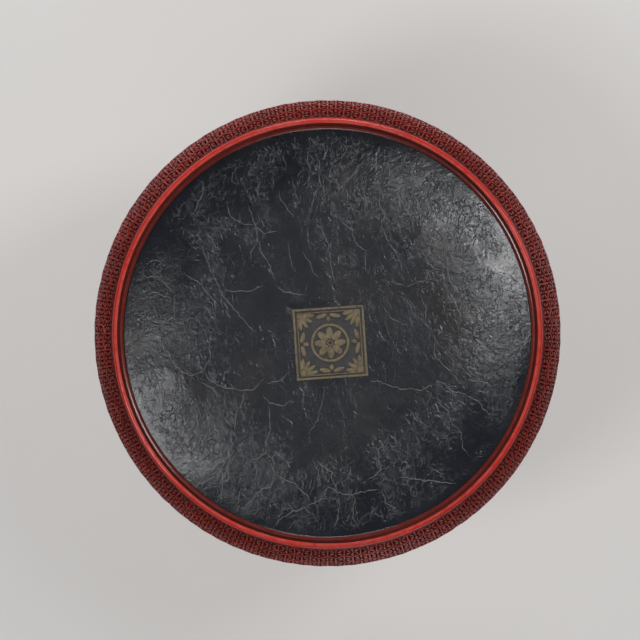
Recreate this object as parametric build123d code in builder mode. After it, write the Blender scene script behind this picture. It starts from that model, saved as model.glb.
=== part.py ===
from build123d import *
from math import asin, ceil, degrees, sqrt
import os

# A round carved lacquer box for seal paste, closed and standing on its foot.
# Millimetres, +Z up, origin at the centre of the standing face.
# Every turned profile is drawn in the XZ plane as (radius, height) and revolved about Z.

# Outside of the box
outer_radius = 40.0         # widest, on both upright sides
foot_inset = 3.5            # how far the curved side draws in to the foot
shoulder_inset = 3.5        # how far the lid draws in to its top moulding
mouth_height = 18.4         # where lid and base part
foot_height = 2.2
base_curve_rise = 9.0       # height of the curved part of the base's side
lid_side_height = 16.2      # mouth to shoulder
lid_curve_rise = 9.0

# Walls, from the outside in
coat_thickness = 1.5        # lacquer that is thick enough to carve
coat_edge_width = 2.1       # the carved coat's edge, where it ends on the foot or the moulding
hoop_thickness = 2.8        # wooden hoop of the base, on its upright part
lining_thickness = 0.5
mouth_band_height = 2.0     # plain band beside the mouth
mouth_band_edge = 0.35      # rounding of the band at the mouth
mouth_skin = 0.4            # the band's lacquer, where it turns in over the hoop's end

# Boards and how they are let into the hoops
board_thickness = 2.8
board_rebate_depth = 1.2    # step round the board's edge, across
board_rebate_height = 1.6   # and its height
board_seat_width = 1.0      # wood left outside the board, at the hoop's end

# Locating collar round the mouth
collar_thickness = 1.2
collar_rise = 3.2           # above the mouth
collar_seat_depth = 4.5     # below the mouth, inside the hoop
collar_edge = 0.4
lid_clearance = 0.3         # round the collar

# Foot ring, its inner bead and the sunk underside
standing_outer_inset = 0.68     # from the foot's outer edge to the standing face
standing_width = 0.42
foot_edge_radius = 0.42
foot_batter = 0.3               # lean of the foot's outer face
foot_inner_round = 0.1
groove_width = 0.38
groove_depth = 1.2
bead_sink = 0.5                 # bead's crest above the standing plane
bead_crest_width = 0.2
bead_crest_round = 0.15
bead_bevel_width = 0.4          # sloping inner shoulder of the bead
bead_bevel_rise = 0.2
bead_splay = 0.16               # lean of the bead's inner face
underside_thickness = 0.5
underside_cove_width = 3.7
underside_cove_drop = 0.55

# Square gilt inlay in the underside
inlay_side = 12.1
inlay_corner = 0.4
inlay_depth = 0.3
inlay_ground_thickness = 0.15
inlay_border_width = 0.38
inlay_line_gap = 0.3
inlay_line_width = 0.18
inlay_centre = (0.45, 1.6)
inlay_turn = -4.0               # degrees

# Carving of the sides, a diaper of small cells in rows
row_depth = 0.5
row_ridge_width = 0.36          # ridge between two rows, and half of it at each end
curve_rows = 4                  # rows on the curved part of a side
upright_rows = 2                # and on the upright part

# Top of the lid
moulding_width = 2.5
moulding_height = 1.6
moulding_batter = 0.35
moulding_edge_radius = 0.55
panel_edge_thickness = 1.0
panel_crown = 2.4               # rise of the carved top from its edge to its centre
panel_depth = 0.5               # of the carving
panel_border_width = 2.4        # plain border round the field of cells
cell_pitch = 4.7                # six-sided cells, flat to flat
cell_ridge_width = 0.5
medallion_radius = 13.2
medallion_ridge_width = 0.5
outer_petals = 12
outer_petal_length = 5.0
outer_petal_width = 4.2
inner_petals = 8
inner_petal_length = 3.6
inner_petal_width = 3.2
petal_gap = 0.5                 # ground between the rows of petals
heart_radius = 2.4

# Porcelain dish and the paste in it
dish_clearance = 0.3
dish_wall = 2.0
dish_corner_radius = 7.0
dish_foot_height = 1.2
dish_foot_width = 2.6
dish_foot_setback = 0.9
dish_foot_edge = 0.4
dish_rim_rise = 0.6             # above the collar
paste_edge_rise = 0.7           # from the dish's corner up to the paste's edge
paste_crown = 2.4

# Radii that several pieces share
foot_radius = outer_radius - foot_inset
shoulder_radius = outer_radius - shoulder_inset
core_radius = outer_radius - coat_thickness
core_foot_radius = foot_radius - coat_edge_width
core_shoulder_radius = shoulder_radius - coat_edge_width
hoop_inner_radius = core_radius - hoop_thickness
inside_radius = hoop_inner_radius - lining_thickness
board_radius = core_foot_radius - board_seat_width
tongue_radius = board_radius - board_rebate_depth
collar_outer_radius = inside_radius + collar_thickness
lid_inside_radius = collar_outer_radius + lid_clearance
lid_hoop_inner_radius = lid_inside_radius + lining_thickness
lid_board_radius = core_shoulder_radius - board_seat_width
lid_tongue_radius = lid_board_radius - board_rebate_depth
panel_radius = shoulder_radius - moulding_width
standing_outer_radius = foot_radius - standing_outer_inset
standing_inner_radius = standing_outer_radius - standing_width
bead_outer_radius = standing_inner_radius - groove_width
bead_crest_radius = bead_outer_radius - bead_crest_width
bead_bevel_radius = bead_crest_radius - bead_bevel_width
underside_radius = bead_bevel_radius - bead_splay

# Heights that several pieces share
base_curve_top = foot_height + base_curve_rise
base_band_bottom = mouth_height - mouth_band_height
board_top = foot_height + board_thickness
floor_height = board_top + lining_thickness
collar_bottom = mouth_height - collar_seat_depth
collar_top = mouth_height + collar_rise
shoulder_height = mouth_height + lid_side_height
lid_curve_bottom = shoulder_height - lid_curve_rise
lid_band_top = mouth_height + mouth_band_height
lid_board_bottom = shoulder_height - board_thickness
ceiling_height = lid_board_bottom - lining_thickness
underside_face = foot_height - underside_thickness
underside_edge = underside_face - underside_cove_drop
base_hoop_top = mouth_height - mouth_skin
lid_hoop_bottom = mouth_height + mouth_skin

# Inner corners: the lining turns from the floor or ceiling up the wall in one cove
base_corner_radius = inside_radius - tongue_radius
lid_corner_radius = lid_inside_radius - lid_tongue_radius
quarter_turn = 90
DOWN = (0, -1)
UP = (0, 1)
LEVEL = (1, 0)

os.makedirs("parts", exist_ok=True)


def carved_rows(curve_height, inset, rise, upright, way):
    """Sections of the rows of the diaper, each row one turned channel between two ridges.

    The curved part ends at curve_height and goes down from there where way is -1, up where it is 1.
    """
    bend_radius = (inset**2 + rise**2) / (2 * inset)
    bend_centre = (outer_radius - bend_radius, curve_height)
    row_sweep = degrees(asin(rise / bend_radius)) / curve_rows
    ridge_sweep = degrees(row_ridge_width / bend_radius)
    row_height = upright / upright_rows
    with BuildSketch(Plane.XZ) as rows:
        for row in range(curve_rows):
            start = way * (row * row_sweep + ridge_sweep / 2)
            sweep = way * (row_sweep - ridge_sweep)
            with BuildLine():
                floor = CenterArc(bend_centre, bend_radius - row_depth, start, sweep)
                mouth = CenterArc(bend_centre, bend_radius + row_depth, start, sweep)
                Line(floor @ 0, mouth @ 0)
                Line(floor @ 1, mouth @ 1)
            make_face()
        for row in range(upright_rows):
            with Locations((outer_radius, curve_height - way * (row + 1 / 2) * row_height)):
                Rectangle(2 * row_depth, row_height - row_ridge_width)
    return rows.sketch


# Base: wooden hoop, turned outside to the box's curve and rebated for board and collar
with BuildPart() as base_hoop:
    with BuildSketch(Plane.XZ):
        with BuildLine():
            Line((board_radius, foot_height), (core_foot_radius, foot_height))
            TangentArc((core_radius, base_curve_top), (core_foot_radius, foot_height), tangent=DOWN)
            Polyline(
                (core_radius, base_curve_top),
                (core_radius, base_hoop_top),
                (collar_outer_radius, base_hoop_top),
                (collar_outer_radius, collar_bottom),
                (hoop_inner_radius, collar_bottom),
                (hoop_inner_radius, floor_height + base_corner_radius),
            )
            CenterArc(
                (tongue_radius, floor_height + base_corner_radius),
                base_corner_radius + lining_thickness,
                -quarter_turn,
                quarter_turn,
            )
            Polyline(
                (tongue_radius, board_top),
                (tongue_radius, foot_height + board_rebate_height),
                (board_radius, foot_height + board_rebate_height),
                (board_radius, foot_height),
            )
        make_face()
    revolve(axis=Axis.Z)

# Base: bottom board, let into the hoop from below with a stepped edge
with BuildPart() as base_board:
    with BuildSketch(Plane.XY.offset(foot_height)):
        Circle(board_radius)
    extrude(amount=board_rebate_height)
    with BuildSketch(Plane.XY.offset(foot_height + board_rebate_height)):
        Circle(tongue_radius)
    extrude(amount=board_thickness - board_rebate_height)

# Base: lacquer coat that carries the carved diaper
with BuildPart() as base_carved_coat:
    with BuildSketch(Plane.XZ):
        with BuildLine():
            Line((core_foot_radius, foot_height), (foot_radius, foot_height))
            TangentArc((outer_radius, base_curve_top), (foot_radius, foot_height), tangent=DOWN)
            Polyline(
                (outer_radius, base_curve_top),
                (outer_radius, base_band_bottom),
                (core_radius, base_band_bottom),
                (core_radius, base_curve_top),
            )
            TangentArc((core_radius, base_curve_top), (core_foot_radius, foot_height), tangent=DOWN)
        make_face()
    revolve(axis=Axis.Z)
    base_rows = carved_rows(
        base_curve_top, foot_inset, base_curve_rise, base_band_bottom - base_curve_top, way=-1
    )
    revolve(base_rows, axis=Axis.Z, mode=Mode.SUBTRACT)

# Base: plain band round the mouth, turned in over the hoop's end and eased where it meets the lid
with BuildPart() as base_mouth_band:
    with BuildSketch(Plane.XZ) as base_band_profile:
        with BuildLine():
            Polyline(
                (core_radius, base_band_bottom),
                (outer_radius, base_band_bottom),
                (outer_radius, mouth_height),
                (collar_outer_radius, mouth_height),
                (collar_outer_radius, base_hoop_top),
                (core_radius, base_hoop_top),
                close=True,
            )
        make_face()
        mouth_edge = base_band_profile.vertices().group_by(Axis.Y)[-1].sort_by(Axis.X)[-1]
        fillet(mouth_edge, radius=mouth_band_edge)
    revolve(axis=Axis.Z)

# Base: collar that stands out of the mouth and centres the lid
with BuildPart() as locating_collar:
    with BuildSketch(Plane.XY.offset(collar_bottom)):
        Circle(collar_outer_radius)
        Circle(inside_radius, mode=Mode.SUBTRACT)
    extrude(amount=collar_top - collar_bottom)
    fillet(locating_collar.edges().group_by(Axis.Z)[-1], radius=collar_edge)

# Base: black lining, one skin over the floor, the cove and the wall up to the collar
with BuildPart() as base_lining:
    with BuildSketch(Plane.XZ):
        with BuildLine():
            Polyline(
                (tongue_radius, floor_height),
                (0, floor_height),
                (0, board_top),
                (tongue_radius, board_top),
            )
            CenterArc(
                (tongue_radius, floor_height + base_corner_radius),
                base_corner_radius + lining_thickness,
                -quarter_turn,
                quarter_turn,
            )
            Polyline(
                (hoop_inner_radius, floor_height + base_corner_radius),
                (hoop_inner_radius, collar_bottom),
                (inside_radius, collar_bottom),
                (inside_radius, floor_height + base_corner_radius),
            )
            CenterArc(
                (tongue_radius, floor_height + base_corner_radius),
                base_corner_radius,
                -quarter_turn,
                quarter_turn,
            )
        make_face()
    revolve(axis=Axis.Z)

# Base: foot ring that the box stands on, with a groove along its inner side
with BuildPart() as foot_ring:
    with BuildSketch(Plane.XZ) as foot_profile:
        with BuildLine():
            Polyline(
                (bead_outer_radius, foot_height),
                (bead_outer_radius, groove_depth),
                (standing_inner_radius, groove_depth),
                (standing_inner_radius, 0),
                (foot_radius - foot_batter, 0),
                (foot_radius, foot_height),
                close=True,
            )
        make_face()
        standing_corners = foot_profile.vertices().group_by(Axis.Y)[0].sort_by(Axis.X)
        fillet(standing_corners[-1], radius=foot_edge_radius)
        fillet(standing_corners[0], radius=foot_inner_round)
    revolve(axis=Axis.Z)

# Base: thin second bead inside the groove, bevelled inwards down to the underside
with BuildPart() as foot_bead:
    with BuildSketch(Plane.XZ) as bead_profile:
        with BuildLine():
            Polyline(
                (underside_radius, foot_height),
                (bead_outer_radius, foot_height),
                (bead_outer_radius, bead_sink),
                (bead_crest_radius, bead_sink),
                (bead_bevel_radius, bead_sink + bead_bevel_rise),
                (underside_radius, underside_edge),
                close=True,
            )
        make_face()
        bead_corners = bead_profile.vertices().group_by(Axis.Y)[0].sort_by(Axis.X)
        fillet(bead_corners[-1], radius=bead_crest_round)
    revolve(axis=Axis.Z)

# Base: black lacquer of the sunk underside, coved down to the bead, with a square pocket
with BuildPart() as underside_lacquer:
    with BuildSketch(Plane.XZ):
        with BuildLine():
            Line((0, underside_face), (underside_radius - underside_cove_width, underside_face))
            TangentArc(
                (underside_radius - underside_cove_width, underside_face),
                (underside_radius, underside_edge),
                tangent=LEVEL,
            )
            Polyline(
                (underside_radius, underside_edge),
                (underside_radius, foot_height),
                (0, foot_height),
                (0, underside_face),
            )
        make_face()
    revolve(axis=Axis.Z)
    with BuildSketch(Plane.XY.offset(underside_face)):
        with Locations(inlay_centre):
            RectangleRounded(inlay_side, inlay_side, inlay_corner, rotation=inlay_turn)
    extrude(amount=inlay_depth, mode=Mode.SUBTRACT)

# Base: gilt inlay, a sunk ground inside a double border
with BuildPart() as gilt_inlay:
    with BuildSketch(Plane.XY.offset(underside_face + inlay_depth)):
        with Locations(inlay_centre):
            RectangleRounded(inlay_side, inlay_side, inlay_corner, rotation=inlay_turn)
    extrude(amount=-inlay_ground_thickness)
    with BuildSketch(Plane.XY.offset(underside_face)):
        with Locations(inlay_centre):
            line_outer_side = inlay_side - 2 * (inlay_border_width + inlay_line_gap)
            line_inner_side = line_outer_side - 2 * inlay_line_width
            border_inner_side = inlay_side - 2 * inlay_border_width
            RectangleRounded(inlay_side, inlay_side, inlay_corner, rotation=inlay_turn)
            Rectangle(border_inner_side, border_inner_side, rotation=inlay_turn, mode=Mode.SUBTRACT)
            Rectangle(line_outer_side, line_outer_side, rotation=inlay_turn)
            Rectangle(line_inner_side, line_inner_side, rotation=inlay_turn, mode=Mode.SUBTRACT)
    extrude(amount=inlay_depth - inlay_ground_thickness)

# Lid: wooden hoop, the base's turned upside down but thinner, to pass the collar
with BuildPart() as lid_hoop:
    with BuildSketch(Plane.XZ):
        with BuildLine():
            Line((lid_board_radius, shoulder_height), (core_shoulder_radius, shoulder_height))
            TangentArc((core_radius, lid_curve_bottom), (core_shoulder_radius, shoulder_height), tangent=UP)
            Polyline(
                (core_radius, lid_curve_bottom),
                (core_radius, lid_hoop_bottom),
                (lid_hoop_inner_radius, lid_hoop_bottom),
                (lid_hoop_inner_radius, ceiling_height - lid_corner_radius),
            )
            CenterArc(
                (lid_tongue_radius, ceiling_height - lid_corner_radius),
                lid_corner_radius + lining_thickness,
                0,
                quarter_turn,
            )
            Polyline(
                (lid_tongue_radius, lid_board_bottom),
                (lid_tongue_radius, shoulder_height - board_rebate_height),
                (lid_board_radius, shoulder_height - board_rebate_height),
                (lid_board_radius, shoulder_height),
            )
        make_face()
    revolve(axis=Axis.Z)

# Lid: top board, let into the hoop from above
with BuildPart() as lid_board:
    with BuildSketch(Plane.XY.offset(lid_board_bottom)):
        Circle(lid_tongue_radius)
    extrude(amount=board_thickness - board_rebate_height)
    with BuildSketch(Plane.XY.offset(shoulder_height - board_rebate_height)):
        Circle(lid_board_radius)
    extrude(amount=board_rebate_height)

# Lid: carved coat round the side
with BuildPart() as lid_carved_coat:
    with BuildSketch(Plane.XZ):
        with BuildLine():
            Line((core_shoulder_radius, shoulder_height), (shoulder_radius, shoulder_height))
            TangentArc((outer_radius, lid_curve_bottom), (shoulder_radius, shoulder_height), tangent=UP)
            Polyline(
                (outer_radius, lid_curve_bottom),
                (outer_radius, lid_band_top),
                (core_radius, lid_band_top),
                (core_radius, lid_curve_bottom),
            )
            TangentArc((core_radius, lid_curve_bottom), (core_shoulder_radius, shoulder_height), tangent=UP)
        make_face()
    revolve(axis=Axis.Z)
    lid_rows = carved_rows(
        lid_curve_bottom, shoulder_inset, lid_curve_rise, lid_curve_bottom - lid_band_top, way=1
    )
    revolve(lid_rows, axis=Axis.Z, mode=Mode.SUBTRACT)

# Lid: plain band round the mouth, turned in over the hoop's end
with BuildPart() as lid_mouth_band:
    with BuildSketch(Plane.XZ) as lid_band_profile:
        with BuildLine():
            Polyline(
                (lid_hoop_inner_radius, mouth_height),
                (outer_radius, mouth_height),
                (outer_radius, lid_band_top),
                (core_radius, lid_band_top),
                (core_radius, lid_hoop_bottom),
                (lid_hoop_inner_radius, lid_hoop_bottom),
                close=True,
            )
        make_face()
        lid_mouth_edge = lid_band_profile.vertices().group_by(Axis.Y)[0].sort_by(Axis.X)[-1]
        fillet(lid_mouth_edge, radius=mouth_band_edge)
    revolve(axis=Axis.Z)

# Lid: black lining, over the wall, the cove and the ceiling
with BuildPart() as lid_lining:
    with BuildSketch(Plane.XZ):
        with BuildLine():
            Polyline(
                (lid_tongue_radius, lid_board_bottom),
                (0, lid_board_bottom),
                (0, ceiling_height),
                (lid_tongue_radius, ceiling_height),
            )
            CenterArc(
                (lid_tongue_radius, ceiling_height - lid_corner_radius), lid_corner_radius, 0, quarter_turn
            )
            Polyline(
                (lid_inside_radius, ceiling_height - lid_corner_radius),
                (lid_inside_radius, mouth_height),
                (lid_hoop_inner_radius, mouth_height),
                (lid_hoop_inner_radius, ceiling_height - lid_corner_radius),
            )
            CenterArc(
                (lid_tongue_radius, ceiling_height - lid_corner_radius),
                lid_corner_radius + lining_thickness,
                0,
                quarter_turn,
            )
        make_face()
    revolve(axis=Axis.Z)

# Lid: smooth moulding round the top
with BuildPart() as lid_top_moulding:
    with BuildSketch(Plane.XZ) as moulding_profile:
        with BuildLine():
            Polyline(
                (panel_radius, shoulder_height),
                (shoulder_radius, shoulder_height),
                (shoulder_radius - moulding_batter, shoulder_height + moulding_height),
                (panel_radius, shoulder_height + moulding_height),
                close=True,
            )
        make_face()
        fillet(moulding_profile.vertices().group_by(Axis.Y)[-1], radius=moulding_edge_radius)
    revolve(axis=Axis.Z)

# Lid: carved top panel inside the moulding, gently domed, with a diaper of six-sided cells round a
# medallion of two rows of petals. The carving is drawn flat, raised, and trimmed to the dome.
panel_edge_height = shoulder_height + panel_edge_thickness
panel_top = panel_edge_height + panel_crown
field_radius = panel_radius - panel_border_width
cell_radius = cell_pitch / sqrt(3)
cell_columns = 2 * ceil(field_radius / (cell_pitch * sqrt(3) / 2)) + 1
cells_in_column = 2 * ceil(field_radius / cell_pitch) + 1
inner_petal_reach = heart_radius + petal_gap + inner_petal_length / 2
outer_petal_reach = medallion_radius - medallion_ridge_width - petal_gap - outer_petal_length / 2


def dome_section(sink):
    """Half of the panel's section, with its top sunk by the given depth."""
    with BuildSketch(Plane.XZ) as dome:
        with BuildLine():
            Polyline(
                (0, panel_top - sink),
                (0, shoulder_height),
                (panel_radius, shoulder_height),
                (panel_radius, panel_edge_height - sink),
            )
            TangentArc((0, panel_top - sink), (panel_radius, panel_edge_height - sink), tangent=LEVEL)
        make_face()
    return dome.sketch


def whole_cells():
    """Places of the cells that lie wholly between the medallion and the border, in a grid with one
    of its cells on the axis."""
    grid = HexLocations(cell_pitch / 2, cell_columns, cells_in_column)
    places = [cell.position for cell in grid.local_locations]
    middle = min(places, key=lambda place: place.length)
    nearest = medallion_radius + cell_radius
    farthest = field_radius - cell_radius
    return [place - middle for place in places if nearest < (place - middle).length < farthest]


with BuildPart() as lid_carved_panel:
    with BuildSketch(Plane.XY.offset(shoulder_height)):
        Circle(panel_radius)
        Circle(medallion_radius - medallion_ridge_width, mode=Mode.SUBTRACT)
        with Locations(whole_cells()):
            RegularPolygon(
                (cell_pitch - cell_ridge_width) / 2, side_count=6, major_radius=False, mode=Mode.SUBTRACT
            )
        with PolarLocations(outer_petal_reach, outer_petals):
            Ellipse(outer_petal_length / 2, outer_petal_width / 2)
        with PolarLocations(inner_petal_reach, inner_petals):
            Ellipse(inner_petal_length / 2, inner_petal_width / 2)
        Circle(heart_radius)
    extrude(amount=panel_top - shoulder_height)
    revolve(dome_section(sink=0), axis=Axis.Z, mode=Mode.INTERSECT)
    revolve(dome_section(sink=panel_depth), axis=Axis.Z)

# Inside: porcelain dish on a low foot ring, with a round rim to lift it by
dish_outer_radius = inside_radius - dish_clearance
dish_inner_radius = dish_outer_radius - dish_wall
dish_corner_centre = dish_outer_radius - dish_corner_radius
dish_underside = floor_height + dish_foot_height
dish_corner_height = dish_underside + dish_corner_radius
dish_foot_radius = dish_corner_centre - dish_foot_setback
dish_rim_radius = dish_wall / 2
dish_rim_centre = collar_top + dish_rim_rise - dish_rim_radius
paste_edge_height = dish_corner_height + paste_edge_rise

with BuildPart() as paste_dish:
    with BuildSketch(Plane.XZ) as dish_profile:
        with BuildLine():
            Polyline(
                (0, dish_underside + dish_wall),
                (0, dish_underside),
                (dish_foot_radius - dish_foot_width, dish_underside),
                (dish_foot_radius - dish_foot_width, floor_height),
                (dish_foot_radius, floor_height),
                (dish_foot_radius, dish_underside),
                (dish_corner_centre, dish_underside),
            )
            CenterArc(
                (dish_corner_centre, dish_corner_height),
                dish_corner_radius,
                -quarter_turn,
                quarter_turn,
            )
            Line((dish_outer_radius, dish_corner_height), (dish_outer_radius, dish_rim_centre))
            CenterArc(
                (dish_outer_radius - dish_rim_radius, dish_rim_centre),
                dish_rim_radius,
                0,
                2 * quarter_turn,
            )
            Line((dish_inner_radius, dish_rim_centre), (dish_inner_radius, dish_corner_height))
            CenterArc(
                (dish_corner_centre, dish_corner_height),
                dish_corner_radius - dish_wall,
                -quarter_turn,
                quarter_turn,
            )
            Line((dish_corner_centre, dish_underside + dish_wall), (0, dish_underside + dish_wall))
        make_face()
        fillet(dish_profile.vertices().group_by(Axis.Y)[0], radius=dish_foot_edge)
    revolve(axis=Axis.Z)

# Inside: the paste, filling the dish to well below its rim, with a mounded top
with BuildPart() as seal_paste:
    with BuildSketch(Plane.XZ):
        with BuildLine():
            Polyline(
                (0, paste_edge_height + paste_crown),
                (0, dish_underside + dish_wall),
                (dish_corner_centre, dish_underside + dish_wall),
            )
            CenterArc(
                (dish_corner_centre, dish_corner_height),
                dish_corner_radius - dish_wall,
                -quarter_turn,
                quarter_turn,
            )
            Line((dish_inner_radius, dish_corner_height), (dish_inner_radius, paste_edge_height))
            TangentArc(
                (0, paste_edge_height + paste_crown),
                (dish_inner_radius, paste_edge_height),
                tangent=LEVEL,
            )
        make_face()
    revolve(axis=Axis.Z)

pieces = {
    "base_hoop": base_hoop,
    "base_board": base_board,
    "base_carved_coat": base_carved_coat,
    "base_mouth_band": base_mouth_band,
    "locating_collar": locating_collar,
    "base_lining": base_lining,
    "foot_ring": foot_ring,
    "foot_bead": foot_bead,
    "underside_lacquer": underside_lacquer,
    "gilt_inlay": gilt_inlay,
    "lid_hoop": lid_hoop,
    "lid_board": lid_board,
    "lid_carved_coat": lid_carved_coat,
    "lid_mouth_band": lid_mouth_band,
    "lid_lining": lid_lining,
    "lid_top_moulding": lid_top_moulding,
    "lid_carved_panel": lid_carved_panel,
    "paste_dish": paste_dish,
    "seal_paste": seal_paste,
}
for name, piece in pieces.items():
    piece.part.label = name
    export_step(piece.part, f"parts/{name}.step")
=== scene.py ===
from math import asin, cos, hypot, pi, radians, sin, sqrt

import bpy
import numpy as np
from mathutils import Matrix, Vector, noise


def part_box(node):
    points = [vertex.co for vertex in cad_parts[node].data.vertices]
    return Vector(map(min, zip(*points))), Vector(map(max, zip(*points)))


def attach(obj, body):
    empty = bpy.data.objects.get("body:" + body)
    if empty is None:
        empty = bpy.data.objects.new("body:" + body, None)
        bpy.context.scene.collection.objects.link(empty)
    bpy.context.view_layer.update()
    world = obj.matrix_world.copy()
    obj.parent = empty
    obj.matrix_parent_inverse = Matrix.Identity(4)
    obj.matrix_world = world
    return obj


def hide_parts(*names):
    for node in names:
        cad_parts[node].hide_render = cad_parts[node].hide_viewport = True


# A round carved red lacquer box for seal paste. It stands on its foot at z = 0, and its axis is Z.
# The photograph looks straight at its underside, so the main camera looks up along +Z.

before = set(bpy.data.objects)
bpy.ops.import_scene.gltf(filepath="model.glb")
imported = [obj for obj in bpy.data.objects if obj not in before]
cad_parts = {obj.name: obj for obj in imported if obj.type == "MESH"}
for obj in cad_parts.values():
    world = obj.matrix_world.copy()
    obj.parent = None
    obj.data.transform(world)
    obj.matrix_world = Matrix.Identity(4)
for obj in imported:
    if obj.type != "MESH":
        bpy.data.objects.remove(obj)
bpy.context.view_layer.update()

mm = 0.001
full_turn = 2 * pi
noise_seed = 1
noise.seed_set(noise_seed)  # otherwise noise_vector is seeded by the clock, and differs from run to run

# Outside form, read from the frame
foot_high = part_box("foot_ring")[1]
panel_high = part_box("lid_carved_panel")[1]
band_low, band_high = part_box("base_mouth_band")
paste_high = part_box("seal_paste")[1]
box_margin = 0.001 * mm  # keeps the widest pieces inside the box of the solids
outer_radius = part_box("base_carved_coat")[1].x - box_margin
foot_radius = foot_high.x
foot_height = foot_high.z
mouth_height = band_high.z
band_height = band_high.z - band_low.z
shoulder_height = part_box("lid_carved_coat")[1].z
shoulder_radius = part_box("lid_top_moulding")[1].x
panel_radius = panel_high.x
top_height = panel_high.z
collar_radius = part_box("locating_collar")[1].x
lid_inside_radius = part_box("lid_lining")[1].x
dish_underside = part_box("paste_dish")[0].z
dish_inner_radius = paste_high.x

# Sizes of the turned work that the boxes don't give, as in the solids
curve_rise = 9.0 * mm
coat_thickness = 1.5 * mm
coat_edge_width = 2.1 * mm
moulding_height = 1.6 * mm
moulding_batter = 0.35 * mm
moulding_edge = 0.55 * mm
panel_edge_thickness = 1.0 * mm
band_edge = 0.35 * mm
band_skin = 0.4 * mm
standing_outer_radius = foot_radius - 0.68 * mm
standing_inner_radius = standing_outer_radius - 0.42 * mm
foot_batter = 0.3 * mm
foot_edge = 0.42 * mm
foot_inner_edge = 0.1 * mm
groove_depth = 1.2 * mm
bead_outer_radius = standing_inner_radius - 0.38 * mm
bead_round = 0.15 * mm
bead_crest_width = 0.2 * mm
bead_bevel_width = 0.4 * mm
bead_bevel_rise = 0.2 * mm
bead_splay = 0.16 * mm
bead_sink = 0.5 * mm
underside_radius = bead_outer_radius - bead_crest_width - bead_bevel_width - bead_splay
underside_face = 1.7 * mm
dish_drop = 0.55 * mm  # the black face is dished by this towards the bead
dish_start = 21.0 * mm
paste_crown = 2.4 * mm  # by which the paste is domed, as in the solids
lip_radius = 0.085 * mm  # of the long cracks' raised lips

# The square inlay
inlay_side = 12.1 * mm
inlay_depth = 0.3 * mm
inlay_rise = inlay_depth * 0.75
inlay_ground_thickness = inlay_depth * 0.14
inlay_border = 0.38 * mm
inlay_gap = 0.3 * mm
inlay_line = 0.18 * mm
inlay_centre = Vector((0.45 * mm, 1.6 * mm, 0.0))
inlay_turn = radians(-4.0)
fan_petal = (1.0 * mm, 0.35 * mm)  # half its length and half its width, as for those below
fan_reach = 1.75 * mm
fan_step = 25  # degrees
fan_root = (0.52 * mm, 0.52 * mm)
fan_root_inset = 0.3 * mm
side_leaf = (1.0 * mm, 0.36 * mm)
side_leaf_reach = 1.15 * mm
side_leaf_inset = 0.50 * mm
side_leaf_lean = 0.28  # radians
bud = (0.34 * mm, 0.50 * mm)
bud_inset = 1.0 * mm
rosette_petal = (1.02 * mm, 0.58 * mm)
rosette_reach = 1.64 * mm
rosette_ring = (3.05 * mm, 0.42 * mm)  # radius and width
rosette_heart = (0.42 * mm, 0.22 * mm)

# Carving of the sides, and of the lid's top
carve_depth = 0.5 * mm
cells_around = 84
rows_up = 6
border_width = 0.3 * mm
field_radius = 31.6 * mm
field_pitch = 4.7  # millimetres, flat to flat
medallion_radius = 13.2 * mm
medallion_ridge = 0.5 * mm
tuck = 0.02 * mm  # by which plain borders lie under the highest points of the carving
turn_steps = 360
fine_turn_steps = 480
weld = 1e-6  # metres: points nearer than this are merged


# Modelling helpers


def select_only(piece):
    bpy.ops.object.select_all(action="DESELECT")
    piece.select_set(True)
    bpy.context.view_layer.objects.active = piece


def arc(centre, radius, start, end, count):
    """Points of (radius, height) on an arc from start to end, in degrees."""
    return [
        (
            centre[0] + radius * cos(radians(start + (end - start) * step / count)),
            centre[1] + radius * sin(radians(start + (end - start) * step / count)),
        )
        for step in range(count + 1)
    ]


def run(start, end, count):
    """Points on a straight stretch of a profile, both ends among them."""
    return [
        (start[0] + (end[0] - start[0]) * step / count, start[1] + (end[1] - start[1]) * step / count)
        for step in range(count + 1)
    ]


def turned(name, profile, steps=turn_steps):
    """A profile of (radius, height), drawn by extruding one point, then spun about Z."""
    bpy.ops.object.select_all(action="DESELECT")
    bpy.ops.mesh.primitive_plane_add(size=mm)
    piece = bpy.context.object
    piece.name = name
    ends = profile[1:] + profile[:1]
    bpy.ops.object.mode_set(mode="EDIT")
    bpy.ops.mesh.select_all(action="SELECT")
    bpy.ops.mesh.merge(type="CENTER")
    bpy.ops.transform.translate(value=(profile[0][0], 0, profile[0][1]))
    for here, there in zip(profile, ends):
        step = (there[0] - here[0], 0, there[1] - here[1])
        bpy.ops.mesh.extrude_vertices_move(TRANSFORM_OT_translate={"value": step})
    bpy.ops.mesh.select_all(action="SELECT")
    bpy.ops.mesh.remove_doubles(threshold=weld)
    bpy.ops.mesh.spin(steps=steps, angle=full_turn, center=(0, 0, 0), axis=(0, 0, 1))
    bpy.ops.mesh.select_all(action="SELECT")
    bpy.ops.mesh.remove_doubles(threshold=weld)
    bpy.ops.mesh.normals_make_consistent(inside=False)
    bpy.ops.object.mode_set(mode="OBJECT")
    return piece


def coordinates(piece):
    """The coordinates of all points, as three arrays."""
    points = np.zeros(len(piece.data.vertices) * 3, np.float32)
    piece.data.vertices.foreach_get("co", points)
    return points.reshape(-1, 3).astype(np.float64).T


def reshape(piece, rule):
    """Moves every point by a rule on the arrays of its coordinates."""
    moved = np.stack(rule(*coordinates(piece)), axis=1).astype(np.float32)
    piece.data.vertices.foreach_set("co", moved.ravel())
    piece.data.update()


def paint(piece, name, rule):
    """Stores a number at every point, the same all over or by a rule, for the materials to read."""
    x, y, z = coordinates(piece)
    values = rule(x, y, z) if callable(rule) else np.full_like(x, rule)
    attribute = piece.data.attributes.new(name, "FLOAT", "POINT")
    attribute.data.foreach_set("value", values.astype(np.float32))


def placed(piece, size, place, turn=0.0):
    """Gives a new piece its size, turn and place, and applies them to its mesh."""
    piece.scale = size
    piece.rotation_euler = (0, 0, turn)
    piece.location = place
    bpy.ops.object.transform_apply(location=True, rotation=True, scale=True)
    return piece


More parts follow.
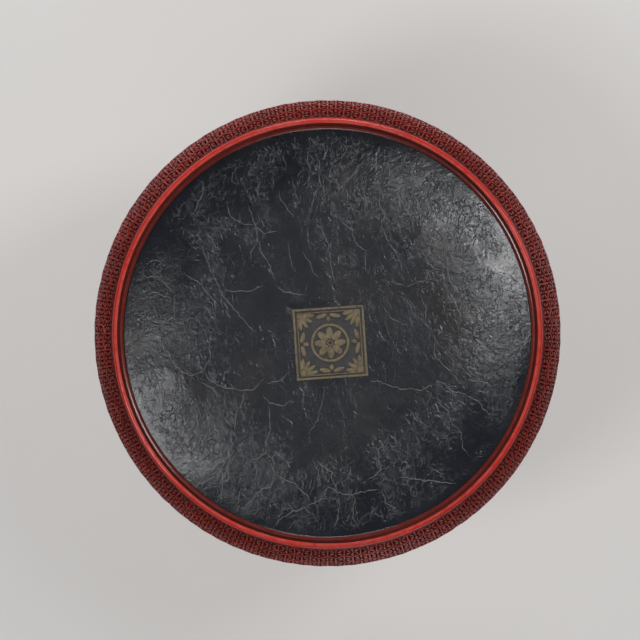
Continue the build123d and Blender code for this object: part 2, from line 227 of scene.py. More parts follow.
def block(size, place, turn=0.0):
    bpy.ops.object.select_all(action="DESELECT")
    bpy.ops.mesh.primitive_cube_add(size=1.0)
    return placed(bpy.context.object, size, place, turn)


def copies_around(count):
    """Edit step: repeats what is selected round Z."""
    bpy.ops.mesh.spin(
        steps=count - 1, angle=full_turn * (count - 1) / count, center=(0, 0, 0), axis=(0, 0, 1), dupli=True
    )


def face_outwards():
    """Edit step: turns all faces outwards."""
    bpy.ops.mesh.select_all(action="SELECT")
    bpy.ops.mesh.normals_make_consistent(inside=False)


def wobble(piece, scale, amount, seed, inward=False):
    """Moves points by smooth noise, as hand work wanders. inward keeps the piece inside its old radius."""
    for vertex in piece.data.vertices:
        place = vertex.co / scale + Vector((seed, -seed, seed))
        push = noise.noise_vector(place) * amount
        if inward:
            flat = Vector((vertex.co.x, vertex.co.y, 0.0))
            if flat.length > 0 and flat.dot(push) > 0:
                push -= 2 * flat * flat.dot(push) / flat.length_squared
        vertex.co += push
    piece.data.update()


def join(pieces, name):
    bpy.ops.object.select_all(action="DESELECT")
    for piece in pieces:
        piece.select_set(True)
    bpy.context.view_layer.objects.active = pieces[0]
    bpy.ops.object.join()
    pieces[0].name = name
    return pieces[0]


def in_edit_mode(piece, *steps):
    """Runs edit steps on all of one piece."""
    select_only(piece)
    bpy.ops.object.mode_set(mode="EDIT")
    bpy.ops.mesh.select_all(action="SELECT")
    for step in steps:
        step()
    bpy.ops.object.mode_set(mode="OBJECT")


def smooth(piece, angle=35.0):
    select_only(piece)
    bpy.ops.object.shade_smooth_by_angle(angle=radians(angle))


def finish_piece(piece, material, body, replaces):
    piece.data.materials.clear()
    piece.data.materials.append(material)
    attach(piece, body)
    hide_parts(*replaces)


# Node helpers


class Finish:
    """One material's node tree, with short ways to add its nodes."""

    def __init__(self, name):
        self.material = bpy.data.materials.new(name)
        self.material.use_nodes = True
        self.tree = self.material.node_tree
        self.shader = self.tree.nodes["Principled BSDF"]
        coordinates = self.add("ShaderNodeTexCoord")
        self.place = coordinates.outputs["Object"]

    def add(self, kind, **settings):
        node = self.tree.nodes.new(kind)
        for key, value in settings.items():
            setattr(node, key, value)
        return node

    def link(self, source, target):
        self.tree.links.new(source, target)

    def feed(self, socket, value):
        if isinstance(value, bpy.types.NodeSocket):
            self.link(value, socket)
        else:
            socket.default_value = value

    def scaled(self, scale, place=None):
        """Object coordinates in millimetres times scale."""
        node = self.add("ShaderNodeMapping")
        self.link(place or self.place, node.inputs["Vector"])
        node.inputs["Scale"].default_value = [s / mm for s in scale]
        return node.outputs["Vector"]

    def noise(
        self, size, detail=3.0, roughness=0.5, distortion=0.0, place=None, stretch=(1, 1, 1), output="Fac"
    ):
        """Noise whose lumps are about size millimetres across."""
        node = self.add("ShaderNodeTexNoise")
        self.link(self.scaled([s / size for s in stretch], place=place), node.inputs["Vector"])
        node.inputs["Scale"].default_value = 1.0
        node.inputs["Detail"].default_value = detail
        node.inputs["Roughness"].default_value = roughness
        node.inputs["Distortion"].default_value = distortion
        return node.outputs[output]

    def warped(self, size, amount, detail=2.0):
        """Object coordinates pushed about by noise, both in millimetres."""
        push = self.noise(size, detail=detail, output="Color")
        centred = self.vector("SUBTRACT", push, (0.5, 0.5, 0.5))
        grown = self.vector("SCALE", centred, scale=amount * mm)
        return self.vector("ADD", self.place, grown)

    def vector(self, operation, a, b=None, scale=None):
        node = self.add("ShaderNodeVectorMath", operation=operation)
        self.feed(node.inputs[0], a)
        if b is not None:
            self.feed(node.inputs[1], b)
        if scale is not None:
            node.inputs["Scale"].default_value = scale
        return node.outputs["Value" if operation in ("LENGTH", "DOT_PRODUCT") else "Vector"]

    def cracks(self, size, width, place, seed):
        """1 on the lines of a Voronoi net with cells of size millimetres, 0 off them."""
        node = self.add("ShaderNodeTexVoronoi", feature="DISTANCE_TO_EDGE")
        moved = self.vector("ADD", place, (seed * mm, seed * mm, 0.0))
        self.link(self.scaled([1 / size] * 3, place=moved), node.inputs["Vector"])
        node.inputs["Scale"].default_value = 1.0
        return self.range(node.outputs["Distance"], 0.0, width / size, 1.0, 0.0)

    def isoline(self, value, width):
        """1 along the wandering line where a noise crosses its middle, 0 off it."""
        away = self.math("ABSOLUTE", self.math("SUBTRACT", value, 0.5))
        return self.range(away, 0.0, width, 1.0, 0.0)

    def math(self, operation, a, b=None):
        node = self.add("ShaderNodeMath", operation=operation)
        self.feed(node.inputs[0], a)
        if b is not None:
            self.feed(node.inputs[1], b)
        return node.outputs[0]

    def times(self, *values):
        """The product of all the values."""
        product = values[0]
        for value in values[1:]:
            product = self.math("MULTIPLY", product, value)
        return product

    def range(self, value, low, high, to_low=0.0, to_high=1.0, kind="LINEAR"):
        node = self.add("ShaderNodeMapRange", interpolation_type=kind)
        self.link(value, node.inputs["Value"])
        for socket, number in zip(("From Min", "From Max", "To Min", "To Max"), (low, high, to_low, to_high)):
            node.inputs[socket].default_value = number
        return node.outputs["Result"]

    def mix(self, share, a, b):
        node = self.add("ShaderNodeMix", data_type="RGBA")
        self.feed(node.inputs[0], share)
        self.feed(node.inputs[6], a if isinstance(a, bpy.types.NodeSocket) else (*a, 1.0))
        self.feed(node.inputs[7], b if isinstance(b, bpy.types.NodeSocket) else (*b, 1.0))
        return node.outputs[2]

    def attribute(self, name):
        return self.add("ShaderNodeAttribute", attribute_name=name).outputs["Fac"]

    def heights(self):
        """The object coordinates as separate outputs."""
        node = self.add("ShaderNodeSeparateXYZ")
        self.link(self.place, node.inputs[0])
        return node.outputs

    def radius(self):
        """Distance from the box's axis, in metres."""
        return self.vector("LENGTH", self.vector("MULTIPLY", self.place, (1.0, 1.0, 0.0)))

    def bump(self, height, depth, strength=1.0, under=None):
        node = self.add("ShaderNodeBump")
        node.inputs["Strength"].default_value = strength
        node.inputs["Distance"].default_value = depth * mm
        self.link(height, node.inputs["Height"])
        if under is not None:
            self.link(under, node.inputs["Normal"])
        return node.outputs["Normal"]

    def set(self, **values):
        """Sets or links the shader's sockets, named with underscores."""
        for key, value in values.items():
            socket = self.shader.inputs[key.replace("_", " ")]
            if isinstance(value, tuple) and socket.type == "RGBA":
                value = (*value, 1.0)
            self.feed(socket, value)


# Camera and stage


photo_size = 640.0
photo_distance = 600 * mm
photo_scale = 5.94  # pixels to a millimetre at the foot
photo_centre = (327.5, 333.3)  # where the box's axis meets the photograph
sensor_width = 36.0
stage_radius = 700 * mm
floor_colour = (0.71, 0.70, 0.685)
lid_travel = 64 * mm  # room for the lifted lid
world_fill = 0.28
world_below = 0.02


def add_camera():
    camera_data = bpy.data.cameras.new("photo_camera")
    camera = bpy.data.objects.new("photo_camera", camera_data)
    bpy.context.scene.collection.objects.link(camera)
    camera_data.sensor_width = sensor_width
    camera_data.lens = photo_scale / mm * photo_distance * sensor_width / photo_size
    camera_data.shift_x = -(photo_centre[0] - photo_size / 2) / photo_size
    camera_data.shift_y = (photo_centre[1] - photo_size / 2) / photo_size
    camera_data.clip_start = 10 * mm
    camera.location = (0, 0, -photo_distance)
    camera.rotation_euler = (pi, 0, 0)
    bpy.context.scene.camera = camera


def stage_material(name, colour):
    """Pale and matt, seen from its front alone, by the camera and, past the box, in reflections.
    It fades out with distance from the box."""
    finish = Finish(name)
    tree = finish.tree
    output = tree.nodes["Material Output"]
    paths = finish.add("ShaderNodeLightPath")
    geometry = finish.add("ShaderNodeNewGeometry")
    clear = finish.add("ShaderNodeBsdfTransparent")
    blend = finish.add("ShaderNodeMixShader")
    front = finish.math("SUBTRACT", 1.0, geometry.outputs["Backfacing"])
    near = finish.range(finish.radius(), stage_radius * 0.35, stage_radius * 0.95, 1.0, 0.0, "SMOOTHSTEP")
    mirrored = finish.math("MAXIMUM", paths.outputs["Is Glossy Ray"], paths.outputs["Is Transmission Ray"])
    past_box = finish.math("GREATER_THAN", finish.radius(), outer_radius * 1.3)
    seen = finish.math("MAXIMUM", paths.outputs["Is Camera Ray"], finish.times(mirrored, past_box))
    shown = finish.times(seen, front, near)
    mottled = finish.mix(finish.noise(30.0), colour, [c * 0.97 for c in colour])
    finish.set(Base_Color=mottled, Roughness=0.9, Specular_IOR_Level=0.1)
    finish.link(shown, blend.inputs[0])
    finish.link(clear.outputs[0], blend.inputs[1])
    finish.link(finish.shader.outputs[0], blend.inputs[2])
    finish.link(blend.outputs[0], output.inputs["Surface"])
    return finish.material


def add_stage():
    """A floor under the foot, for views from above, and one over the lifted lid, for views from below."""
    material = stage_material("stage_pale", floor_colour)
    over_lid = top_height + lid_travel
    for name, height, turn in (("floor_under_foot", 0.0, 0.0), ("floor_over_lid", over_lid, pi)):
        bpy.ops.object.select_all(action="DESELECT")
        bpy.ops.mesh.primitive_circle_add(
            vertices=96, radius=stage_radius, fill_type="NGON", location=(0, 0, height), rotation=(turn, 0, 0)
        )
        floor = bpy.context.object
        floor.name = name
        floor.data.materials.append(material)


def add_world():
    """Pale to the camera, an even fill to matt surfaces, and in reflections pale above, dimmer below."""
    world = bpy.data.worlds.new("studio")
    bpy.context.scene.world = world
    world.use_nodes = True
    tree = world.node_tree
    background = tree.nodes["Background"]
    paths = tree.nodes.new("ShaderNodeLightPath")
    direction = tree.nodes.new("ShaderNodeTexCoord")
    split = tree.nodes.new("ShaderNodeSeparateXYZ")
    above = tree.nodes.new("ShaderNodeMapRange")
    above.inputs["From Min"].default_value = -0.7
    above.inputs["From Max"].default_value = 0.2
    mirrored = tree.nodes.new("ShaderNodeMath")
    mirrored.operation = "MAXIMUM"
    tones = []
    for low, high in (((world_below,) * 3, floor_colour), ((world_fill,) * 3, None), (None, floor_colour)):
        tone = tree.nodes.new("ShaderNodeMix")
        tone.data_type = "RGBA"
        if low:
            tone.inputs[6].default_value = (*low, 1.0)
        if high:
            tone.inputs[7].default_value = (*high, 1.0)
        tones.append(tone)
    height, gloss, camera = tones
    tree.links.new(direction.outputs["Generated"], split.inputs[0])
    tree.links.new(split.outputs["Z"], above.inputs["Value"])
    tree.links.new(above.outputs["Result"], height.inputs[0])
    tree.links.new(paths.outputs["Is Glossy Ray"], mirrored.inputs[0])
    tree.links.new(paths.outputs["Is Transmission Ray"], mirrored.inputs[1])
    tree.links.new(mirrored.outputs[0], gloss.inputs[0])
    tree.links.new(height.outputs[2], gloss.inputs[7])
    tree.links.new(paths.outputs["Is Camera Ray"], camera.inputs[0])
    tree.links.new(gloss.outputs[2], camera.inputs[6])
    tree.links.new(camera.outputs[2], background.inputs["Color"])


def add_lamp(name, place, size, power):
    """An area lamp aimed at the middle of the box."""
    lamp_data = bpy.data.lights.new(name, "AREA")
    lamp_data.shape = "RECTANGLE"
    lamp_data.size = size[0] * mm
    lamp_data.size_y = size[1] * mm
    lamp_data.energy = power
    lamp = bpy.data.objects.new(name, lamp_data)
    bpy.context.scene.collection.objects.link(lamp)
    lamp.location = Vector(place) * mm
    lamp.rotation_euler = (Vector((0, 0, top_height / 2)) - lamp.location).to_track_quat("-Z", "Y").to_euler()
    lamp.visible_camera = False


# The lamps: name, place and size in millimetres, and watts. The photograph's top is towards -Y
lamps = (
    # Towards the underside: the photograph's own lamps
    ("top_of_picture", (0, -470, -210), (320, 140), 1.7),
    ("left_low_softbox", (-175, 90, -520), (85, 155), 0.68),
    ("right_high_softbox", (200, -95, -500), (85, 190), 0.54),
    ("behind_camera", (0, 0, -700), (150, 150), 0.026),
    ("low_front_strip", (0, 400, -330), (340, 50), 0.40),
    ("strip_behind_top", (20, -330, 640), (420, 120), 2.5),
    # Towards the lid and the sides
    ("key", (-330, -420, 520), (300, 300), 1.9),
    ("fill", (520, -180, 300), (320, 320), 1.2),
    ("rim", (120, 520, 380), (300, 200), 1.1),
)


# Carved diaper


def leaf(reach, half_width, half_length, height, sides, cupped=False):
    """A leaf-shaped boss that stands on the sunk ground, in millimetres, its length along Y."""
    depth = carve_depth / mm
    bpy.ops.object.select_all(action="DESELECT")
    bpy.ops.mesh.primitive_circle_add(vertices=sides, radius=1.0, fill_type="NGON")
    boss = placed(bpy.context.object, (half_width, half_length, 1), (0, reach, -depth * 1.02))
    steps = [
        lambda: bpy.ops.mesh.extrude_region_move(TRANSFORM_OT_translate={"value": (0, 0, height)}),
        lambda: bpy.ops.transform.resize(value=(0.62, 0.74, 1), center_override=(0, reach, 0)),
    ]
    if cupped:
        steps.append(lambda: bpy.ops.mesh.inset(thickness=half_width * 0.22, depth=-height * 0.35))
    in_edit_mode(boss, *steps)
    return boss


def diaper_cell(pitch, ridge, slope, sides, cupped=False):
    """One six-sided cell in millimetres, lying flat with its highest points at zero and one point towards
    Y: half a ridge all round, a sunk ground and a flower of six petals."""
    depth = carve_depth / mm
    corner = pitch / sqrt(3)
    pocket = corner - (ridge / 2 + slope) * 2 / sqrt(3)
    bpy.ops.object.select_all(action="DESELECT")
    bpy.ops.mesh.primitive_circle_add(vertices=6, radius=corner, fill_type="NGON")
    cell = bpy.context.object
    in_edit_mode(
        cell,
        lambda: bpy.ops.mesh.inset(thickness=ridge / 2),
        lambda: bpy.ops.mesh.inset(thickness=slope, depth=-depth),
    )
    petal = leaf(pocket * 0.56, pocket * 0.23, pocket * 0.37, depth * 0.92, sides, cupped)
    in_edit_mode(petal, lambda: copies_around(6))
    heart = leaf(0.0, pocket * 0.17, pocket * 0.17, depth * 0.8, 6)
    for piece, share in ((cell, 0.0), (petal, 1.0), (heart, 1.0)):
        paint(piece, "flower", share)
    return join([cell, petal, heart], "diaper_cell")


def repeat(piece, count, offset):
    select_only(piece)
    array = piece.modifiers.new("repeat", "ARRAY")
    array.count = count
    array.use_relative_offset = False
    array.use_constant_offset = True
    array.constant_offset_displace = offset
    bpy.ops.object.modifier_apply(modifier=array.name)


def diaper_sheet(name, pitch, around, rows):
    """A flat sheet of cells in staggered rows, in millimetres, trimmed straight at both ends."""
    row = pitch * sqrt(3) / 2
    end = row * (rows + 0.5)
    first = diaper_cell(pitch, 0.22, 0.13, 6)
    repeat(first, around, (pitch, 0, 0))
    select_only(first)
    bpy.ops.object.duplicate()
    second = bpy.context.object
    second.location = (pitch / 2, row, 0)
    bpy.ops.object.transform_apply(location=True, rotation=True, scale=True)
    sheet = join([first, second], name)
    repeat(sheet, rows // 2 + 1, (0, 2 * row, 0))
    in_edit_mode(
        sheet,
        lambda: bpy.ops.mesh.bisect(plane_co=(0, row / 2, 0), plane_no=(0, 1, 0), clear_inner=True),
        lambda: bpy.ops.mesh.select_all(action="SELECT"),
        lambda: bpy.ops.mesh.bisect(plane_co=(0, end, 0), plane_no=(0, 1, 0), clear_outer=True),
    )
    reshape(sheet, lambda x, y, z: (x, (y - row / 2) / (rows * row), z))
    paint(sheet, "relief", lambda x, y, z: 1 + z / (carve_depth / mm))
    return sheet


side_inset = outer_radius - foot_radius
side_bend = (side_inset**2 + curve_rise**2) / (2 * side_inset)
side_angle = asin(curve_rise / side_bend)
side_upright = mouth_height - band_height - foot_height - curve_rise
side_length = side_angle * side_bend + side_upright


def side_curve(distance):
    """Radius, height above the foot's top and outward normal on the carved side, at a distance along it."""
    angle = np.minimum(distance / side_bend - side_angle, 0.0)
    beyond = np.maximum(distance - side_angle * side_bend, 0.0)
    radius = outer_radius - side_bend + side_bend * np.cos(angle)
    height = curve_rise + side_bend * np.sin(angle) + beyond
    return radius, height, np.cos(angle), np.sin(angle)


def side_profile(depth, first, last, count):
    """Points of the side's profile, sunk by depth, between two distances along it."""
    points = []
    for step in range(count + 1):
        radius, height, out, up = side_curve(first + (last - first) * step / count)
        points.append((float(radius - depth * out), float(foot_height + height - depth * up)))
    return points


def carved_side(name, upside_down):
    """The carved coat: a turned wall with a plain border at both ends, and the diaper on its ground."""
    pitch = full_turn * (outer_radius - carve_depth) / cells_around / mm
    sheet = diaper_sheet(name + "_diaper", pitch, cells_around, rows_up)
    way = -1 if upside_down else 1

    def wrap(x, y, z):
        radius, height, out, up = side_curve(border_width / 2 + y * (side_length - border_width))
        radius = radius + z * mm * out
        height = foot_height + height + z * mm * up
        angle = way * x / (pitch * cells_around) * full_turn
        if upside_down:
            height = 2 * mouth_height - height
        return radius * np.cos(angle), radius * np.sin(angle), height

    reshape(sheet, wrap)
    in_edit_mode(sheet, lambda: bpy.ops.mesh.remove_doubles(threshold=weld * 3))
    wobble(sheet, 1.5 * mm, 0.15 * mm, 3.0 + upside_down, inward=True)
    wobble(sheet, 0.5 * mm, 0.055 * mm, 6.0 + upside_down, inward=True)
    ground = carve_depth * 1.04
    profile = side_profile(tuck, 0.0, border_width, 3)
    profile += side_profile(ground, border_width * 1.25, side_length - border_width * 1.25, 28)
    profile += side_profile(tuck, side_length - border_width, side_length, 3)
    profile += side_profile(coat_thickness, side_length, curve_rise, 3)
    profile += [(foot_radius - coat_edge_width, foot_height)]
    if upside_down:
        profile = [(radius, 2 * mouth_height - height) for radius, height in profile]
    wall = turned(name + "_wall", profile)
    paint(wall, "relief", 0.0)
    paint(wall, "flower", 0.0)
    coat = join([sheet, wall], name)
    smooth(coat, 30.0)
    return coat


# Lid's top


def dome_height(radius):
    """Height of the panel's domed surface at a radius."""
    edge = shoulder_height + panel_edge_thickness
    crown = top_height - edge
    bend = (panel_radius**2 + crown**2) / (2 * crown)
    return top_height - bend + np.sqrt(bend**2 - np.minimum(radius, panel_radius) ** 2)


def onto_dome(piece):
    """Lays a flat piece, in millimetres with its highest points at zero, onto the dome."""
    reshape(piece, lambda x, y, z: (x * mm, y * mm, dome_height(np.hypot(x, y) * mm) - tuck + z * mm))


def field_places():
    """Middles of the lid's cells in millimetres, in columns, with one of them on the axis."""
    reach = field_pitch / sqrt(3)
    places = []
    for column in range(-8, 9):
        for row in range(-8, 9):
            place = (column * field_pitch * sqrt(3) / 2, (row + column % 2 / 2) * field_pitch)
            distance = hypot(*place)
            if medallion_radius / mm - reach * 0.8 < distance < field_radius / mm + reach * 0.8:
                places.append(place)
    return places


def trim(piece, place, radius, keep_inside):
    """Cuts a flat cell straight along a circle about the axis."""
    outward = Vector((*place, 0.0)).normalized()
    in_edit_mode(
        piece,
        lambda: bpy.ops.mesh.bisect(
            plane_co=outward * radius, plane_no=outward, clear_outer=keep_inside, clear_inner=not keep_inside
        ),
    )


def lid_field():
    """The wide field of cells, those at its two borders trimmed to them."""
    reach = field_pitch / sqrt(3)
    first = diaper_cell(field_pitch, 0.5, 0.12, 8, cupped=True)
    reshape(first, lambda x, y, z: (y, -x, z))
    paint(first, "relief", lambda x, y, z: 1 + z / (carve_depth / mm))
    cells = []
    for place in field_places():
        cell = first.copy()
        cell.data = first.data.copy()
        bpy.context.scene.collection.objects.link(cell)
        reshape(cell, lambda x, y, z: (x + place[0], y + place[1], z))
        if hypot(*place) + reach > field_radius / mm:
            trim(cell, place, field_radius / mm, True)
        if hypot(*place) - reach < medallion_radius / mm:
            trim(cell, place, medallion_radius / mm, False)
        cells.append(cell)
    bpy.data.objects.remove(first)
    field = join(cells, "lid_field")
    in_edit_mode(field, lambda: bpy.ops.mesh.remove_doubles(threshold=weld / mm * 3))
    onto_dome(field)
    return field


def key_fret():
    """A ring of squared spirals in the channel between the panel's edge and the field."""
    around = 96
    inner = field_radius / mm + 0.62
    tall = 1.16
    wide = full_turn * (inner + tall / 2) / around
    line = 0.19
    thick = 0.32
    sunk = 0.03
    corners = ((0.0, 0.0), (0.84, 0.0), (0.84, 1.0), (0.16, 1.0), (0.16, 0.36), (0.52, 0.36))
    bars = []
    for start, end in zip(corners, corners[1:]):
        here = Vector((start[0] * (wide - line), start[1] * (tall - line), 0))
        there = Vector((end[0] * (wide - line), end[1] * (tall - line), 0))
        size = (abs(there.x - here.x) + line, abs(there.y - here.y) + line, thick)
        place = ((here.x + there.x) / 2, (here.y + there.y) / 2 + line / 2, -sunk - thick / 2)
        bars.append(block(size, place))
    fret = join(bars, "key_fret")
    repeat(fret, around, (wide, 0, 0))
    paint(fret, "relief", lambda x, y, z: np.clip(1 + (z + sunk) / 0.3, 0, 1))
    paint(fret, "flower", 0.0)

    def bend(x, y, z):
        angle = -x / (wide * around) * full_turn
        return (inner + y) * np.cos(angle), (inner + y) * np.sin(angle), z

    reshape(fret, bend)
    onto_dome(fret)
    return fret


def petal_ring(name, count, reach, half_length, half_width):
    """A ring of raised petals in millimetres, each with a rim, a cupped face and veins from its root."""
    height = carve_depth / mm
    radii = (0.0, 0.2, 0.4, 0.55, 0.68, 0.78, 0.86, 0.93, 1.0)
    petal = turned(name, [(radius * mm, 0.0) for radius in radii] + [(1.0 * mm, -mm), (0.0, -mm)], steps=36)

    def shape(x, y, z):
        across = x / mm
        along = y / mm
        radius = np.hypot(across, along)
        rim = np.exp(-(((radius - 0.84) / 0.12) ** 2))
        cup = -0.20 + 0.22 * rim - 0.10 * np.clip((radius - 0.9) / 0.1, 0, 1)
        veins = np.cos(np.arctan2(across, along + 1.25) * 16)
        cup = cup + 0.03 * veins * np.clip(1 - radius / 0.8, 0, 1) - 0.02
        pointed = half_width * (1 - 0.22 * np.clip(along, 0, 1) ** 3)
        top = z > -0.5 * mm
        return across * pointed, reach + along * half_length, np.where(top, cup, -height * 1.02)

    reshape(petal, shape)
    in_edit_mode(petal, lambda: copies_around(count), face_outwards)
    reshape(petal, lambda x, y, z: (y, -x, z))
    paint(petal, "relief", lambda x, y, z: np.clip(1 + z * 1.6, 0, 1))
    paint(petal, "flower", 0.35)
    onto_dome(petal)
    return petal


def pearls(name, count, reach, size, first_turn, height):
    """A ring of small round bosses, in millimetres."""
    profile = arc((0.0, 0.0), size * mm, 0, 90, 5)[:-1]
    profile += [(0.0, size * mm), (0.0, -mm), (size * mm, -mm)]
    boss = turned(name, profile, steps=14)
    reshape(boss, lambda x, y, z: (x / mm + reach, y / mm, np.maximum(z / mm - size, -2 * size) - height))
    if count > 1:
        in_edit_mode(boss, lambda: copies_around(count), face_outwards)

    def turned_on(x, y, z):
        return x * cos(first_turn) - y * sin(first_turn), x * sin(first_turn) + y * cos(first_turn), z

    reshape(boss, turned_on)
    paint(boss, "relief", lambda x, y, z: np.clip(1 + z * 1.5, 0, 1))
    paint(boss, "flower", 0.2)
    onto_dome(boss)
    return boss


def lid_panel():
    """The carved top: a border of key fret, a wide field of cells and a medallion of petals."""
    field = lid_field()
    fret = key_fret()
    petals = [petal_ring("petals_outer", 12, 9.7, 2.5, 2.1), petal_ring("petals_inner", 8, 4.7, 1.8, 1.6)]
    bosses = [
        pearls("pearls_outer", 12, 11.75, 0.34, full_turn / 24, 0.12),
        pearls("pearls_inner", 12, 7.05, 0.24, full_turn / 24, 0.22),
        pearls("seeds", 6, 1.35, 0.34, 0.0, 0.0),
        pearls("seed_middle", 1, 0.0, 0.34, 0.0, 0.0),
    ]

    def sunk(first, last, depth, count):
        radii = [first + (last - first) * step / count for step in range(count + 1)]
        return [(radius, float(dome_height(radius)) - depth) for radius in radii]

    slope = 0.12 * mm
    border = 0.45 * mm
    channel_depth = 0.34 * mm
    seeds_outer = 2.4 * mm
    seeds_inner = 2.05 * mm
    seeds_depth = 0.28 * mm
    gap = 0.03 * mm
    rim = medallion_radius - medallion_ridge
    profile = [(0.0, shoulder_height), (panel_radius, shoulder_height)]
    profile += sunk(panel_radius, panel_radius - border, tuck, 2)
    profile += sunk(panel_radius - border - slope, field_radius + border + slope, channel_depth, 3)
    profile += sunk(field_radius + border, field_radius, tuck, 2)
    profile += sunk(field_radius - gap, medallion_radius + gap, carve_depth * 1.06, 26)
    profile += sunk(medallion_radius, rim, tuck, 2)
    profile += sunk(rim - slope, seeds_outer + slope, carve_depth, 14)
    profile += sunk(seeds_outer, seeds_inner, tuck, 2)
    profile += sunk(seeds_inner - 0.1 * mm, 0.0, seeds_depth, 5)
    plate = turned("lid_plate", profile)
    paint(plate, "relief", lambda x, y, z: 1 - np.clip((dome_height(np.hypot(x, y)) - z) / carve_depth, 0, 1))
    paint(plate, "flower", 0.0)
    panel = join([plate, field, fret, *petals, *bosses], "lid_top_carving")
    wobble(panel, 1.4 * mm, 0.03 * mm, 9.0)
    reshape(panel, lambda x, y, z: (x, y, np.minimum(z, top_height - 0.01 * mm)))
    smooth(panel, 32.0)
    return panel


# Turned parts


def foot_profile():
    lean = sqrt(foot_batter**2 + foot_height**2)
    up = foot_height / lean
    corner = (foot_radius - foot_batter - foot_edge * 0.9, foot_edge)
    profile = [(bead_outer_radius, foot_height), (bead_outer_radius, groove_depth)]
    profile += [(standing_inner_radius, groove_depth)]
    inner = (standing_inner_radius + foot_inner_edge, foot_inner_edge)
    profile += run((standing_inner_radius, groove_depth), (standing_inner_radius, foot_inner_edge), 4)[1:]
    profile += arc(inner, foot_inner_edge, 180, 270, 3)[1:]
    profile += [(corner[0] - 0.15 * mm, 0.0)]
    profile += arc(corner, foot_edge, -90, -8, 8)
    profile += run((corner[0] + foot_edge * 0.99, foot_edge * 0.95 / up), (foot_radius, foot_height), 5)[1:]
    return profile


def bead_profile():
    """Upright on the groove's side, a narrow crest, a bevel, and a lean down to the black face."""
    corner = (bead_outer_radius - bead_round, bead_sink + bead_round)
    crest = (bead_outer_radius - bead_crest_width, bead_sink)
    bevel = (crest[0] - bead_bevel_width, bead_sink + bead_bevel_rise)
    profile = run((bead_outer_radius, foot_height), (bead_outer_radius, corner[1]), 3)
    profile += arc(corner, bead_round, 0, -90, 4)[1:]
    profile += run(crest, bevel, 3)[1:]
    profile += run(bevel, (underside_radius, underside_face - dish_drop), 3)[1:]
    profile += [(underside_radius, foot_height)]
    return profile


def moulding_profile():
    low = shoulder_height
    high = shoulder_height + moulding_height
    outer = shoulder_radius - moulding_batter
    profile = [(panel_radius, low), (shoulder_radius, low)]
    profile += run((shoulder_radius, low), (outer, high - moulding_edge), 4)[1:]
    profile += arc((outer - moulding_edge, high - moulding_edge), moulding_edge, 0, 90, 7)[1:]
    profile += arc((panel_radius + moulding_edge, high - moulding_edge), moulding_edge, 90, 180, 7)
    return profile


def band_profile(upside_down):
    """The plain band, turned in over the hoop's end as a thin skin."""
    core = outer_radius - coat_thickness
    inner = lid_inside_radius if upside_down else collar_radius
    low = mouth_height - band_height
    profile = [(core, low), (outer_radius, low)]
    profile += run((outer_radius, low), (outer_radius, mouth_height - band_edge), 3)[1:]
    profile += arc((outer_radius - band_edge, mouth_height - band_edge), band_edge, 0, 90, 5)[1:]
    profile += [(inner, mouth_height), (inner, mouth_height - band_skin), (core, mouth_height - band_skin)]
    if upside_down:
        profile = [(radius, 2 * mouth_height - height) for radius, height in profile]
    return profile


def face_height(x, y):
    """Height of the sunk black face: flat, dished gently to the bead, with the dents and swellings of
    old lacquer."""
    radius = np.hypot(x, y)
    outward = np.clip((radius - dish_start) / (underside_radius - dish_start), 0, 1)
    plain = underside_face - dish_drop * outward**2.2
    fade = np.clip((underside_radius - radius) / (1.5 * mm), 0, 1)
    square = np.maximum(*in_inlay(x, y)) / (inlay_side / 2)
    fade = fade * np.clip((square - 1.0) / 0.2, 0, 1)
    swell = 0.11 * noise_at(x, y, 15.0, 2.0)
    swell = swell + 0.04 * noise_at(x, y, 4.5, 7.0) + 0.016 * noise_at(x, y, 1.4, 11.0)
    return plain + fade * swell * mm


def noise_at(x, y, size, seed):
    """Smooth noise with lumps of size millimetres, at arrays of places."""
    return np.array([noise.noise(Vector((a / (size * mm), b / (size * mm), seed))) for a, b in zip(x, y)])


def underside():
    """The sunk black face as a closed turned plate."""
    profile = run((0.0, underside_face), (underside_radius, underside_face), 120)
    profile += [(underside_radius, foot_height), (0.0, foot_height)]
    face = turned("underside_face", profile, steps=420)
    reshape(face, lambda x, y, z: (x, y, np.where(z < foot_height - 0.1 * mm, face_height(x, y), z)))
    return face


def in_inlay(x, y):
    """Distances from the inlay's middle along its own sides."""
    across = (x - inlay_centre.x) * cos(inlay_turn) + (y - inlay_centre.y) * sin(inlay_turn)
    along = -(x - inlay_centre.x) * sin(inlay_turn) + (y - inlay_centre.y) * cos(inlay_turn)
    return np.abs(across), np.abs(along)


